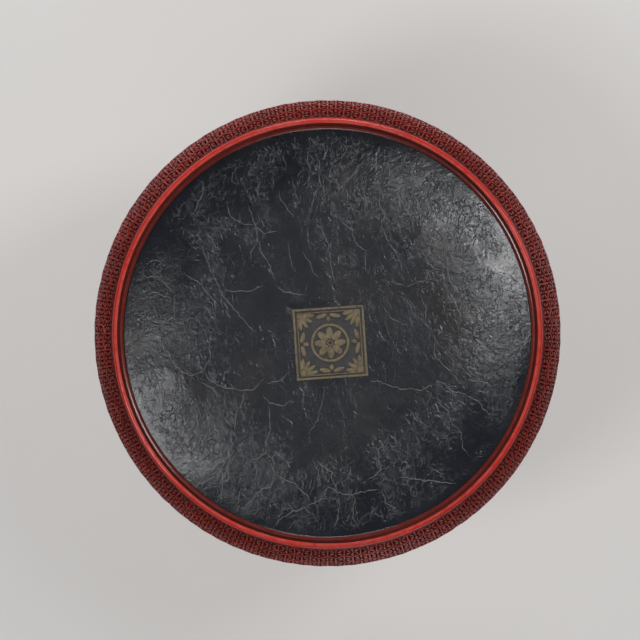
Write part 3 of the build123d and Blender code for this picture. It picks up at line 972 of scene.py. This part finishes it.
# The long cracks of the black face, as places in the photograph, in pixels, read one by one
crack_places = (
    ((198.3, 179.2), (203.3, 182.5), (202.5, 191.7), (200.8, 200), (194.2, 211.7), (193.3, 220)),
    ((200, 241.7), (205.8, 255), (210.8, 271.7), (220, 290), (230, 305), (241.7, 318.3), (255, 332.5)),
    (
        (247.5, 203.3), (251.7, 216.7), (256.7, 226.7), (257.5, 241.7), (263.3, 255), (268.3, 263.3),
        (275.8, 280.8),
    ),
    ((226.7, 201.7), (228.3, 213.3), (233.3, 220.8), (243.3, 223.3), (255, 225.8)),
    ((256.7, 226.7), (263.3, 233.3), (278.3, 231.7)),
    ((257.5, 241.7), (251.7, 251.7), (250, 263.3)),
    ((279.2, 190.8), (280.8, 200), (286.7, 208.3), (294.2, 217.5)),
    ((320, 160), (319.2, 173.3), (320.8, 183.3), (315.8, 196.7), (310, 208.3), (309.2, 218.3)),
    ((308.3, 151.7), (307.5, 163.3), (311.7, 175)),
    ((284.2, 150), (285, 161.7), (285, 173.3)),
    ((292.5, 188.3), (296.7, 195), (300, 201.7)),
    ((313.3, 223.3), (321.7, 228.3), (326.7, 241.7), (332.5, 266.7), (335.8, 284.2)),
    ((287.5, 241.7), (290, 256.7), (295, 273.3)),
    ((301.7, 250), (310, 265), (318.3, 278.3)),
    ((148.3, 275.8), (160, 277.5), (170, 289.2), (175, 295)),
    ((183.3, 271.7), (191.7, 278.3), (201.7, 286.7), (210.8, 297.5), (219.2, 305.8)),
    ((220, 223.3), (225.8, 231.7)),
    ((205, 228.3), (215, 245), (220.8, 251.7)),
    ((175, 295), (174.2, 315), (163.3, 325), (150, 325)),
    ((275, 285.8), (295, 295), (306.7, 295)),
    ((306.7, 283.3), (305, 293.3)),
    ((223.3, 290), (246.7, 291.7), (265, 285)),
    (
        (383.3, 176.7), (379.2, 191.7), (380, 205), (384.2, 213.3), (381.7, 225), (386.7, 238.3),
        (393.3, 250), (401.7, 263.3), (400.8, 273.3),
    ),
    ((365, 191.7), (367.5, 210)),
    ((346.7, 193.3), (351.7, 208.3), (356.7, 218.3)),
    ((340.8, 216.7), (350.8, 231.7), (359.2, 246.7), (365, 251.7), (365.8, 266.7), (367.5, 273.3)),
    ((430, 191.7), (430.8, 211.7), (429.2, 228.3), (432.5, 241.7)),
    ((448.3, 196.7), (448.3, 215), (445, 230), (448.3, 238.3), (445.8, 251.7), (445, 263.3)),
    ((445, 258.3), (458.3, 270), (465, 275), (465, 305)),
    ((465, 275), (486.7, 270), (500, 276.7), (518.3, 280)),
    ((390, 282.5), (406.7, 286.7), (423.3, 280.8), (430, 271.7), (443.3, 268.3)),
    ((420, 291.7), (425, 308.3), (426.7, 325), (435, 338.3), (435, 356.7), (446.7, 366.7), (460, 383.3)),
    ((383.3, 306.7), (391.7, 318.3), (406.7, 325), (411.7, 331.7)),
    ((491.7, 275), (488.3, 293.3)),
    ((475, 221.7), (484.2, 238.3), (486.7, 251.7), (485, 263.3)),
    ((475, 221.7), (475, 241.7), (479.2, 251.7), (482.5, 263.3)),
    ((409.2, 175), (415.8, 166.7)),
    ((403.3, 196.7), (410, 216.7), (413.3, 231.7)),
    ((420, 231.7), (432.5, 245)),
    ((486.7, 313.3), (505, 310), (520, 306.7)),
    ((158.3, 336.7), (168.3, 355), (181.7, 373.3), (193.3, 375.8), (205, 370.8), (210, 355), (210.8, 331.7)),
    ((181.7, 375), (176.7, 388.3), (165, 401.7), (158.3, 418.3)),
    ((205, 370.8), (210, 381.7), (226.7, 388.3), (243.3, 390.8), (253.3, 388.3), (265, 377.5)),
    ((243.3, 390.8), (241.7, 403.3), (235.8, 415), (235, 431.7)),
    ((235, 440), (228.3, 456.7), (213.3, 466.7), (203.3, 472.5)),
    ((290.8, 372.5), (280, 380.8), (266.7, 383.3)),
    ((261.7, 395), (270, 403.3), (285, 405), (295, 400)),
    ((268.3, 405), (270, 418.3), (270.8, 425), (266.7, 441.7), (266.7, 453.3), (250, 461.7)),
    (
        (266.7, 453.3), (273.3, 458.3), (275, 471.7), (270, 486.7), (258.3, 491.7), (246.7, 504.2),
        (243.3, 513.3),
    ),
    ((275, 473.3), (286.7, 480.8), (296.7, 483.3), (311.7, 501.7)),
    ((325, 385), (324.2, 400), (317.5, 418.3), (310, 435)),
    ((313.3, 458.3), (317.5, 470), (316.7, 481.7)),
    ((318.3, 463.3), (330, 471.7)),
    ((328.3, 499.2), (316.7, 501.7), (303.3, 508.3), (293.3, 511.7), (280, 520), (275, 527.5)),
    ((286.7, 501.7), (294.2, 511.7)),
    ((213.3, 440), (211.7, 451.7), (208.3, 463.3)),
    ((199.2, 406.7), (196.7, 418.3), (198.3, 433.3), (191.7, 444.2)),
    ((240, 488.3), (239.2, 501.7), (233.3, 508.3)),
    ((221.7, 470), (223.3, 483.3), (220, 498.3)),
    ((198.3, 381.7), (211.7, 388.3), (223.3, 398.3)),
    ((448.3, 341.7), (453.3, 351.7), (460, 356.7)),
    ((463.3, 379.2), (476.7, 380), (488.3, 383.3), (495, 393.3)),
    ((486.7, 341.7), (500, 336.7), (511.7, 328.3)),
    ((368.3, 380), (381.7, 381.7), (391.7, 386.7), (406.7, 388.3), (421.7, 390), (435, 383.3)),
    ((435, 400), (446.7, 410), (451.7, 423.3), (460.8, 433.3), (463.3, 448.3), (470.8, 456.7)),
    ((436.7, 380), (450, 388.3), (465, 395), (478.3, 401.7), (483.3, 410), (491.7, 415)),
    ((385, 403.3), (393.3, 413.3)),
    ((408.3, 408.3), (420, 425)),
    ((391.7, 433.3), (386.7, 441.7), (378.3, 448.3), (378.3, 458.3), (380.8, 470), (370, 478.3), (360, 485)),
    ((386.7, 441.7), (396.7, 450)),
    ((399.2, 456.7), (393.3, 465.8)),
    ((410, 440), (406.7, 455)),
    ((320, 464.2), (331.7, 471.7), (332.5, 480), (338.3, 491.7)),
    ((323.3, 483.3), (338.3, 493.3), (355, 493.3), (380, 489.2)),
    ((338.3, 495), (339.2, 516.7), (333.3, 528.3)),
    ((354.2, 495), (353.3, 516.7), (358.3, 525)),
    ((380, 490), (384.2, 501.7), (398.3, 513.3)),
    ((400, 476.7), (416.7, 479.2), (436.7, 481.7), (456.7, 482.5)),
    ((428.3, 465), (443.3, 475)),
)


def on_face(place):
    """A place in the photograph as millimetres on the black face, to the nearest tenth."""
    scale = photo_scale * photo_distance / (photo_distance + underside_face)
    return [round((pixel - centre) / scale, 1) for pixel, centre in zip(place, photo_centre)]


def wander(path):
    """A crack's path in metres, in short steps that stray to both sides as a crack does."""
    points = []
    for here, there in zip(path, path[1:]):
        here, there = Vector((*here, 0.0)), Vector((*there, 0.0))
        count = max(1, round((there - here).length / 0.28))
        points += [here.lerp(there, step / count) for step in range(count)]
    points.append(Vector((*path[-1], 0.0)))
    strayed = []
    for point in points:
        push = noise.noise_vector(point / 1.7) * 0.34
        push += noise.noise_vector(point / 0.6 + Vector((9, 9, 9))) * 0.22
        strayed.append((point + Vector((push.x, push.y, 0.0))) * mm)
    return strayed


def crack_lips():
    """The raised, dusty lips of the long cracks, thin threads half sunk in the face."""
    drawing = bpy.data.curves.new("crack_lips", "CURVE")
    drawing.dimensions = "3D"
    drawing.bevel_depth = lip_radius
    drawing.bevel_resolution = 0
    drawing.use_fill_caps = True
    taper_steps = 5
    for places in crack_places:
        path = [on_face(place) for place in places]
        points = [p for p in wander(path) if p.length < underside_radius - 0.3 * mm]
        if len(points) < 3:
            continue
        heights = face_height(np.array([p.x for p in points]), np.array([p.y for p in points]))
        thread = drawing.splines.new("POLY")
        thread.points.add(len(points) - 1)
        for index, (spot, point, height) in enumerate(zip(thread.points, points, heights)):
            taper = min(1.0, (index + 0.4) / taper_steps, (len(points) - index - 0.6) / taper_steps)
            uneven = 0.80 + 0.75 * noise.noise(point / (0.9 * mm) + Vector((3, 5, 7)))
            spot.co = (point.x, point.y, height, 1.0)
            spot.radius = max(0.08, min(1.25, uneven)) * taper
    lips = bpy.data.objects.new("crack_lips", drawing)
    bpy.context.scene.collection.objects.link(lips)
    select_only(lips)
    bpy.ops.object.convert(target="MESH")
    return bpy.context.object


def cut_pocket(face):
    """Cuts the inlay's square pocket into the black face."""
    size = (inlay_side, inlay_side, 2 * inlay_depth)
    cutter = block(size, (inlay_centre.x, inlay_centre.y, underside_face), inlay_turn)
    select_only(face)
    cut = face.modifiers.new("pocket", "BOOLEAN")
    cut.operation = "DIFFERENCE"
    cut.object = cutter
    cut.solver = "EXACT"
    bpy.ops.object.modifier_apply(modifier=cut.name)
    bpy.data.objects.remove(cutter)


def rotated(place, quarter):
    """A point turned by quarter turns about the tile's middle."""
    x, y = place
    for _ in range(quarter):
        x, y = -y, x
    return (x, y)


def bar(start, end, width, height):
    """A straight raised line of the inlay, in its own flat frame in metres."""
    start = Vector((*start, 0.0))
    end = Vector((*end, 0.0))
    length = (end - start).length
    turn = (end - start).to_2d().angle_signed(Vector((1.0, 0.0)))
    return block((length, width, height), (*((start + end) / 2).to_2d(), -height / 2), turn)


def disc(place, size, height, sides, turn=0.0):
    """A raised dot or petal of the inlay."""
    bpy.ops.object.select_all(action="DESELECT")
    bpy.ops.mesh.primitive_cylinder_add(vertices=sides, radius=1.0, depth=1.0)
    return placed(bpy.context.object, (*size, height), (*place, -height / 2), turn)


def ring(radius, width, height, sides):
    """A raised ring of the inlay, about its middle."""
    inner = radius - width / 2
    outer = radius + width / 2
    return turned("inlay_ring", [(inner, 0.0), (outer, 0.0), (outer, -height), (inner, -height)], steps=sides)


def inlay():
    """A square tile: a double border, a rosette in a ring, and a fan of petals in each corner with leaves
    between, as on many traditional tiles."""
    half = inlay_side / 2
    parts = []
    for inset, width in ((0.02 * mm, inlay_border), (inlay_border + inlay_gap, inlay_line)):
        edge = half - inset - width / 2
        for quarter in range(4):
            start = rotated((-edge - width / 2, -edge), quarter)
            parts.append(bar(start, rotated((edge + width / 2, -edge), quarter), width, inlay_rise))
    corner = half - inlay_border - inlay_gap - inlay_line - 0.1 * mm
    for quarter in range(4):
        turn = quarter * pi / 2
        for petal in range(4):
            angle = radians(45 + (petal - 1.5) * fan_step)
            spot = rotated((fan_reach * cos(angle) - corner, fan_reach * sin(angle) - corner), quarter)
            parts.append(disc(spot, fan_petal, inlay_rise, 10, angle + turn))
        spot = rotated((fan_root_inset - corner, fan_root_inset - corner), quarter)
        parts.append(disc(spot, fan_root, inlay_rise, 12))
        for side in (-1, 1):
            spot = rotated((side * side_leaf_reach, side_leaf_inset - corner), quarter)
            parts.append(disc(spot, side_leaf, inlay_rise, 10, turn + side * side_leaf_lean))
        parts.append(disc(rotated((0.0, bud_inset - corner), quarter), bud, inlay_rise, 10, turn))
    parts.append(ring(*rosette_ring, inlay_rise, 48))
    for petal in range(8):
        angle = full_turn * petal / 8
        spot = (rosette_reach * cos(angle), rosette_reach * sin(angle))
        parts.append(disc(spot, rosette_petal, inlay_rise, 14, angle))
    parts.append(ring(*rosette_heart, inlay_rise, 20))
    tile = join(parts, "inlay_tile")
    select_only(tile)
    easing = tile.modifiers.new("easing", "BEVEL")
    easing.width = 0.05 * mm
    easing.segments = 2
    easing.limit_method = "ANGLE"
    bpy.ops.object.modifier_apply(modifier=easing.name)
    paint(tile, "relief", lambda x, y, z: 1 + z / inlay_rise)
    ground = inlay_ground()
    whole = join([tile, ground], "inlay_rosette")
    sink = underside_face + inlay_depth * 0.15

    def seat(x, y, z):
        flat_x = x * np.cos(inlay_turn) - y * np.sin(inlay_turn) + inlay_centre.x
        flat_y = x * np.sin(inlay_turn) + y * np.cos(inlay_turn) + inlay_centre.y
        return flat_x, flat_y, sink - z

    wobble(whole, 0.7 * mm, 0.06 * mm, 5.0)
    reshape(whole, lambda x, y, z: (x, y, np.minimum(z, 0.02 * mm)))
    reshape(whole, seat)
    in_edit_mode(whole, lambda: bpy.ops.mesh.flip_normals())
    smooth(whole, 40.0)
    return whole


def inlay_ground():
    """The tile's thin plate, cut up finely so that it wavers as the lines on it do."""
    side = inlay_side - 0.04 * mm
    size = (side, side, inlay_ground_thickness)
    ground = block(size, (0, 0, -inlay_rise + inlay_ground_thickness / 2))
    in_edit_mode(ground, lambda: bpy.ops.mesh.subdivide(number_cuts=24))
    paint(ground, "relief", 0.0)
    return ground


def paste_mound():
    """The paste, stirred and mounded: a dome with a spiral left by the spatula and a fibrous skin."""
    edge = paste_high.z - paste_crown
    radius_in = dish_inner_radius - 0.05 * mm
    bend = (radius_in**2 + paste_crown**2) / (2 * paste_crown)
    profile = [(0.0, paste_high.z)]
    for step in range(1, 101):
        radius = radius_in * step / 100
        profile.append((radius, paste_high.z - bend + sqrt(bend**2 - radius**2)))
    profile += [(radius_in, edge - 1.0 * mm), (0.0, edge - 1.0 * mm)]
    mound = turned("paste_mound", profile, steps=300)

    def stir(x, y, z):
        radius = np.hypot(x, y)
        angle = np.arctan2(y, x)
        top = z > edge - 0.5 * mm
        swirl = np.sin(angle * 2 - radius / (3.4 * mm) * full_turn * 0.5) * np.clip(radius / (6 * mm), 0, 1)
        swirl = swirl * np.clip((radius_in - radius) / (5 * mm), 0, 1)
        lumps = np.array([paste_lump(a, b) for a, b in zip(x, y)])
        meniscus = 0.7 * mm * np.exp(-(radius_in - radius) / (0.8 * mm))
        drop = 0.45 * mm
        return x, y, z + top * (swirl * 0.28 * mm + lumps - drop + meniscus)

    reshape(mound, stir)
    smooth(mound, 50.0)
    return mound


def paste_lump(x, y):
    """How far the paste's skin stands up or down at a place."""
    coarse = noise.noise(Vector((x / (5 * mm), y / (5 * mm), 1.0)))
    fine = noise.noise(Vector((x / (0.9 * mm), y / (0.9 * mm), 4.0)))
    return (0.14 * coarse + 0.05 * fine) * mm


# Finishes


def smooth_red(name, worn_and_sheen_below=None):
    """Polished red lacquer, a little clouded, a few dark specks, where it stands rubbed pale with painted
    sheen.
    """
    finish = Finish(name)
    broad = finish.range(finish.noise(9.0, detail=4.0), 0.35, 0.65)
    colour = finish.mix(broad, (0.36, 0.008, 0.005), (0.47, 0.015, 0.008))
    stains = finish.range(finish.noise(2.2, detail=6.0, roughness=0.65), 0.62, 0.76, 0.0, 0.45)
    colour = finish.mix(stains, colour, (0.17, 0.010, 0.007))
    specks = finish.range(finish.noise(0.35, detail=2.0), 0.72, 0.80, 0.0, 0.5)
    colour = finish.mix(specks, colour, (0.10, 0.02, 0.015))
    roughness = finish.range(finish.noise(3.0, detail=5.0), 0.3, 0.7, 0.16, 0.24)
    if worn_and_sheen_below is not None:
        # Where it stands the red is painted pale: partly rubbed wear and dust, partly painted sheen.
        rub_and_sheen = finish.range(finish.heights()[2], 0.0, worn_and_sheen_below, 1.0, 0.0, "SMOOTHSTEP")
        patchy_rub_and_sheen = finish.times(rub_and_sheen, finish.range(finish.noise(1.2, detail=5.0), 0.26, 0.56))
        colour = finish.mix(finish.times(patchy_rub_and_sheen, 0.85), colour, (0.40, 0.065, 0.050))
        # Painted shade: inside the groove, deeper than a tenth of a millimetre, the red is painted darker.
        edge = standing_inner_radius
        inward = finish.range(finish.radius(), edge - 0.01 * mm, edge + 0.03 * mm, 1.0, 0.0)
        sunk = finish.range(finish.heights()[2], 0.10 * mm, 0.60 * mm)
        colour = finish.mix(finish.times(inward, sunk), colour, (0.120, 0.014, 0.010))
        roughness = finish.math("ADD", roughness, finish.times(patchy_rub_and_sheen, 0.15))
    skin = finish.noise(1.0, detail=3.0)
    scratches = finish.noise(0.25, detail=2.0, stretch=(1.0, 1.0, 5.0))
    normal = finish.bump(skin, 0.014, 0.7)
    normal = finish.bump(scratches, 0.002, 0.7, normal)
    finish.set(Base_Color=colour, Roughness=roughness, Normal=normal)
    finish.set(Coat_Weight=0.38, Coat_Roughness=0.06, Specular_IOR_Level=0.1)
    return finish.material


def carved_red():
    """Carved red lacquer: worn dusky crests with pale dust and painted glints, grey-olive dust on the
    flowers, and a sunk ground and fine strokes painted dark as shade in the cuts.
    """
    finish = Finish("carved_red_lacquer")
    relief = finish.attribute("relief")
    flower = finish.attribute("flower")
    broad = finish.range(finish.noise(5.0, detail=4.0), 0.35, 0.65)
    crest = finish.mix(broad, (0.17, 0.008, 0.007), (0.27, 0.014, 0.011))
    # Pale pink specks on the crests: partly dust, partly painted glints.
    dust_and_glints = finish.range(finish.noise(0.5, detail=4.0), 0.52, 0.66, 0.0, 0.55)
    crest = finish.mix(dust_and_glints, crest, (0.31, 0.062, 0.050))
    olive = finish.mix(finish.noise(0.8, detail=4.0), (0.17, 0.022, 0.016), (0.17, 0.058, 0.042))
    dusky = finish.times(flower, finish.range(finish.noise(2.5), 0.3, 0.6, 0.15, 0.8))
    crest = finish.mix(dusky, crest, olive)
    # Painted shade: the sunk ground is painted much darker than the crests.
    ground = finish.mix(finish.noise(1.5, detail=5.0), (0.030, 0.007, 0.006), (0.085, 0.018, 0.014))
    high = finish.range(relief, 0.05, 0.70, 0.0, 1.0, "SMOOTHSTEP")
    colour = finish.mix(high, ground, crest)
    strokes = finish.noise(0.30, detail=2.0, roughness=0.6, distortion=1.4)
    # Painted shade: the fine strokes are painted dark, as the shade of small cuts.
    colour = finish.mix(finish.range(strokes, 0.52, 0.62, 0.0, 0.75), colour, (0.040, 0.008, 0.007))
    roughness = finish.range(relief, 0.0, 1.0, 0.55, 0.28)
    normal = finish.bump(strokes, 0.05, 0.9)
    finish.set(Base_Color=colour, Roughness=roughness, Normal=normal)
    finish.set(Coat_Weight=0.03, Coat_Roughness=0.2, Specular_IOR_Level=0.1)
    return finish.material


def bead_red():
    """The bead's lacquer: brown-red, rubbed on its crest, and painted near-black towards the sunk face as
    shade.
    """
    finish = Finish("bead_red_lacquer")
    height = finish.heights()[2]
    crest = finish.range(height, bead_sink, bead_sink + 0.25 * mm, 1.0, 0.0, "SMOOTHSTEP")
    rubbed = finish.times(crest, finish.range(finish.noise(1.5, detail=5.0), 0.3, 0.6))
    colour = finish.mix(finish.noise(4.0, detail=4.0), (0.070, 0.008, 0.006), (0.13, 0.014, 0.009))
    colour = finish.mix(finish.times(rubbed, 0.20), colour, (0.23, 0.050, 0.038))
    # Painted shade: the bead's lean down to the black face is painted near-black.
    recess_shade = finish.range(height, bead_sink + 0.22 * mm, bead_sink + 0.45 * mm, 0.0, 0.96)
    colour = finish.mix(recess_shade, colour, (0.008, 0.005, 0.005))
    normal = finish.bump(finish.noise(0.8, detail=3.0), 0.012, 0.7)
    finish.set(Base_Color=colour, Roughness=0.2, Normal=normal)
    finish.set(Coat_Weight=0.8, Coat_Roughness=0.07, Specular_IOR_Level=0.2)
    return finish.material


def crackled_black():
    """Aged black lacquer. The long cracks are modelled, and here come the short worm-like wrinkles in a belt
    within the rim, a faint net, soft clouding, a leathery skin, and the dish's shading towards the rim."""
    finish = Finish("black_crackled_lacquer")
    radius = finish.radius()
    edge = underside_radius
    rim = finish.range(radius, 0.42 * edge, 0.76 * edge, 0.25, 1.0, "SMOOTHSTEP")
    clean_edge = finish.range(radius, 0.95 * edge, 0.99 * edge, 1.0, 0.2, "SMOOTHSTEP")
    patches = finish.range(finish.noise(9.0, detail=3.0), 0.38, 0.54, 0.1, 1.0)
    busy = finish.times(rim, patches, clean_edge)
    drift = {"place": finish.warped(1.2, 0.9, detail=3.0), "stretch": (1.5, 0.8, 1.0)}
    worms = finish.isoline(finish.noise(1.9, detail=1.0, distortion=0.8, **drift), 0.035)
    chopped = finish.range(finish.noise(1.6, detail=2.0), 0.38, 0.48)
    worms = finish.times(worms, chopped, busy)
    cells = finish.cracks(1.9, 0.15, finish.warped(1.0, 1.0, detail=3.0), 17.0)
    cells = finish.times(cells, busy, finish.range(finish.noise(2.3), 0.45, 0.60))
    net = finish.cracks(6.5, 0.14, finish.warped(2.2, 3.0, detail=4.0), 41.0)
    net_share = finish.range(finish.noise(4.0, detail=2.0), 0.50, 0.62, 0.0, 0.7)
    net = finish.times(net, net_share, clean_edge)
    lines = finish.math("MAXIMUM", finish.math("MAXIMUM", worms, cells), net)
    colour = finish.mix(finish.noise(10.0, detail=5.0), (0.0070, 0.0085, 0.0125), (0.0140, 0.0158, 0.0210))
    brown = finish.range(finish.noise(14.0, detail=3.0), 0.52, 0.68, 0.0, 0.35)
    colour = finish.mix(brown, colour, (0.022, 0.018, 0.015))
    dusty = finish.range(finish.noise(0.6, detail=3.0), 0.35, 0.65, 0.35, 1.0)
    colour = finish.mix(finish.times(lines, dusty), colour, (0.036, 0.039, 0.043))
    lip = finish.attribute("lip")
    lip_colour = finish.mix(finish.noise(3.5, detail=3.0), (0.062, 0.064, 0.066), (0.150, 0.154, 0.152))
    colour = finish.mix(lip, colour, lip_colour)
    roughness = finish.range(finish.noise(3.5, detail=6.0, roughness=0.6), 0.3, 0.7, 0.16, 0.25)
    roughness = finish.math("ADD", roughness, finish.times(lip, 0.15))
    leather = finish.noise(0.7, detail=3.0, distortion=0.5)
    rumple = finish.noise(0.62, detail=2.0, roughness=0.6, distortion=1.2, **drift)
    rumple = finish.times(finish.math("ABSOLUTE", finish.math("SUBTRACT", rumple, 0.5)), busy)
    far_out = finish.math("POWER", finish.range(radius, 0.0, underside_radius), 3.0)
    sag = finish.bump(far_out, 2.3, 1.0)
    sag = finish.bump(finish.noise(11.0, detail=2.0), 0.16, 1.0, sag)
    normal = finish.bump(leather, 0.036, 1.0, sag)
    normal = finish.bump(rumple, -0.050, 1.0, normal)
    normal = finish.bump(lines, 0.024, 1.0, normal)
    finish.set(Base_Color=colour, Roughness=roughness, Normal=normal)
    return finish.material


def gilt():
    """Worn gilding: olive gold on the raised work, rubbed through to brown, over a blackened ground."""
    finish = Finish("worn_gilt")
    relief = finish.attribute("relief")
    gold = finish.mix(finish.noise(0.8, detail=5.0), (0.190, 0.150, 0.085), (0.115, 0.088, 0.048))
    pale = finish.range(finish.noise(0.35, detail=4.0), 0.60, 0.74, 0.0, 0.6)
    gold = finish.mix(pale, gold, (0.30, 0.26, 0.18))
    rubbed = finish.range(finish.noise(1.1, detail=6.0, roughness=0.75), 0.50, 0.68, 0.0, 0.85)
    gold = finish.mix(rubbed, gold, (0.042, 0.033, 0.024))
    high = finish.range(relief, 0.30, 0.75)
    ground = finish.mix(finish.noise(1.2, detail=4.0), (0.010, 0.011, 0.014), (0.034, 0.034, 0.036))
    colour = finish.mix(high, ground, gold)
    normal = finish.bump(finish.noise(0.3, detail=5.0), 0.05, 0.7)
    roughness = finish.range(finish.noise(0.8, detail=4.0), 0.3, 0.7, 0.40, 0.65)
    metal = finish.times(high, 0.35)
    finish.set(Base_Color=colour, Metallic=metal, Roughness=roughness, Normal=normal)
    return finish.material


def plain_black(name):
    """Black lacquer of the inside and the collar: polished, with faint clouding and hair scratches."""
    finish = Finish(name)
    colour = finish.mix(finish.noise(12.0, detail=4.0), (0.010, 0.009, 0.010), (0.022, 0.017, 0.015))
    roughness = finish.range(finish.noise(5.0, detail=6.0), 0.3, 0.7, 0.14, 0.30)
    scratches = finish.noise(0.3, detail=3.0, stretch=(1.0, 1.0, 6.0))
    normal = finish.bump(scratches, 0.01, 0.3)
    normal = finish.bump(finish.noise(7.0, detail=2.0), 0.15, 0.25, normal)
    finish.set(Base_Color=colour, Roughness=roughness, Normal=normal, Coat_Weight=0.5, Coat_Roughness=0.08)
    return finish.material


def porcelain():
    """Clear glaze over white porcelain, bare and a little brown on the foot ring."""
    finish = Finish("glazed_porcelain")
    colour = finish.mix(finish.noise(9.0, detail=3.0), (0.70, 0.74, 0.72), (0.77, 0.78, 0.75))
    specks = finish.range(finish.noise(0.7, detail=2.0), 0.73, 0.78, 0.0, 0.35)
    colour = finish.mix(specks, colour, (0.32, 0.24, 0.17))
    bare = finish.range(finish.heights()[2], dish_underside + 0.2 * mm, dish_underside + 0.6 * mm, 1.0, 0.0)
    colour = finish.mix(bare, colour, (0.55, 0.45, 0.34))
    roughness = finish.range(bare, 0.0, 1.0, 0.10, 0.7)
    normal = finish.bump(finish.noise(4.0, detail=2.0), 0.12, 0.2)
    finish.set(Base_Color=colour, Roughness=roughness, Normal=normal, Coat_Weight=0.6, Coat_Roughness=0.05)
    return finish.material


def cinnabar_paste():
    """Oily vermilion paste bound with fibres."""
    finish = Finish("cinnabar_paste")
    colour = finish.mix(finish.noise(5.0, detail=5.0), (0.46, 0.022, 0.010), (0.60, 0.040, 0.015))
    fibres = finish.noise(0.35, detail=5.0, roughness=0.7, distortion=1.5)
    colour = finish.mix(finish.range(fibres, 0.55, 0.75, 0.0, 0.5), colour, (0.30, 0.012, 0.008))
    normal = finish.bump(fibres, 0.12, 0.7)
    normal = finish.bump(finish.noise(1.6, detail=4.0), 0.2, 0.4, normal)
    roughness = finish.range(finish.noise(2.0, detail=4.0), 0.3, 0.7, 0.32, 0.55)
    finish.set(Base_Color=colour, Roughness=roughness, Normal=normal, Coat_Weight=0.3, Coat_Roughness=0.25)
    return finish.material


def core_wood():
    """The turned wooden cores, sealed inside the lacquer."""
    finish = Finish("core_wood")
    rings = finish.add("ShaderNodeTexWave", wave_type="RINGS", rings_direction="Y")
    finish.link(finish.scaled((0.12, 0.02, 0.12)), rings.inputs["Vector"])
    rings.inputs["Scale"].default_value = 1.5
    rings.inputs["Distortion"].default_value = 3.0
    rings.inputs["Detail"].default_value = 3.0
    colour = finish.mix(rings.outputs["Fac"], (0.23, 0.12, 0.05), (0.40, 0.24, 0.12))
    normal = finish.bump(finish.noise(0.4, detail=4.0, stretch=(1.0, 0.1, 1.0)), 0.03, 0.5)
    finish.set(Base_Color=colour, Roughness=0.65, Normal=normal)
    return finish.material


# Putting it together


add_camera()
add_stage()
add_world()
for lamp in lamps:
    add_lamp(*lamp)

red = smooth_red("smooth_red_lacquer")
foot_red = smooth_red("foot_red_lacquer", worn_and_sheen_below=0.025 * mm)
carved = carved_red()
black_inside = plain_black("black_lining_lacquer")
wood = core_wood()

base_coat = carved_side("base_carving", upside_down=False)
finish_piece(base_coat, carved, "base", ["base_carved_coat"])

lid_coat = carved_side("lid_carving", upside_down=True)
finish_piece(lid_coat, carved, "lid", ["lid_carved_coat"])

panel = lid_panel()
finish_piece(panel, carved, "lid", ["lid_carved_panel"])

turned_pieces = (
    ("foot_moulding", foot_profile(), foot_red, "base", "smooth_red_lacquer", "foot_ring"),
    ("foot_inner_bead", bead_profile(), bead_red(), "base", "bead_red_lacquer", "foot_bead"),
    ("lid_moulding", moulding_profile(), red, "lid", "smooth_red_lacquer", "lid_top_moulding"),
    ("base_band", band_profile(upside_down=False), red, "base", "smooth_red_lacquer", "base_mouth_band"),
    ("lid_band", band_profile(upside_down=True), red, "lid", "smooth_red_lacquer", "lid_mouth_band"),
)
for name, profile, material, body, slot, solid in turned_pieces:
    piece = turned(name, profile, steps=fine_turn_steps)
    smooth(piece)
    finish_piece(piece, material, body, [solid])

face = underside()
cut_pocket(face)
smooth(face)
lips = crack_lips()
for part, share in ((face, 0.0), (lips, 1.0)):
    paint(part, "lip", share)
face = join([face, lips], "underside_face")
finish_piece(face, crackled_black(), "base", ["underside_lacquer"])

tile = inlay()
finish_piece(tile, gilt(), "base", ["gilt_inlay"])

mound = paste_mound()
finish_piece(mound, cinnabar_paste(), "dish", ["seal_paste"])

kept = {
    "base_hoop": wood,
    "base_board": wood,
    "lid_hoop": wood,
    "lid_board": wood,
    "base_lining": black_inside,
    "lid_lining": black_inside,
    "locating_collar": plain_black("collar_lacquer"),
    "paste_dish": porcelain(),
}
for node, material in kept.items():
    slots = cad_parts[node].data.materials
    slots.clear()
    slots.append(material)

scene = bpy.context.scene
scene.view_settings.view_transform = "Standard"
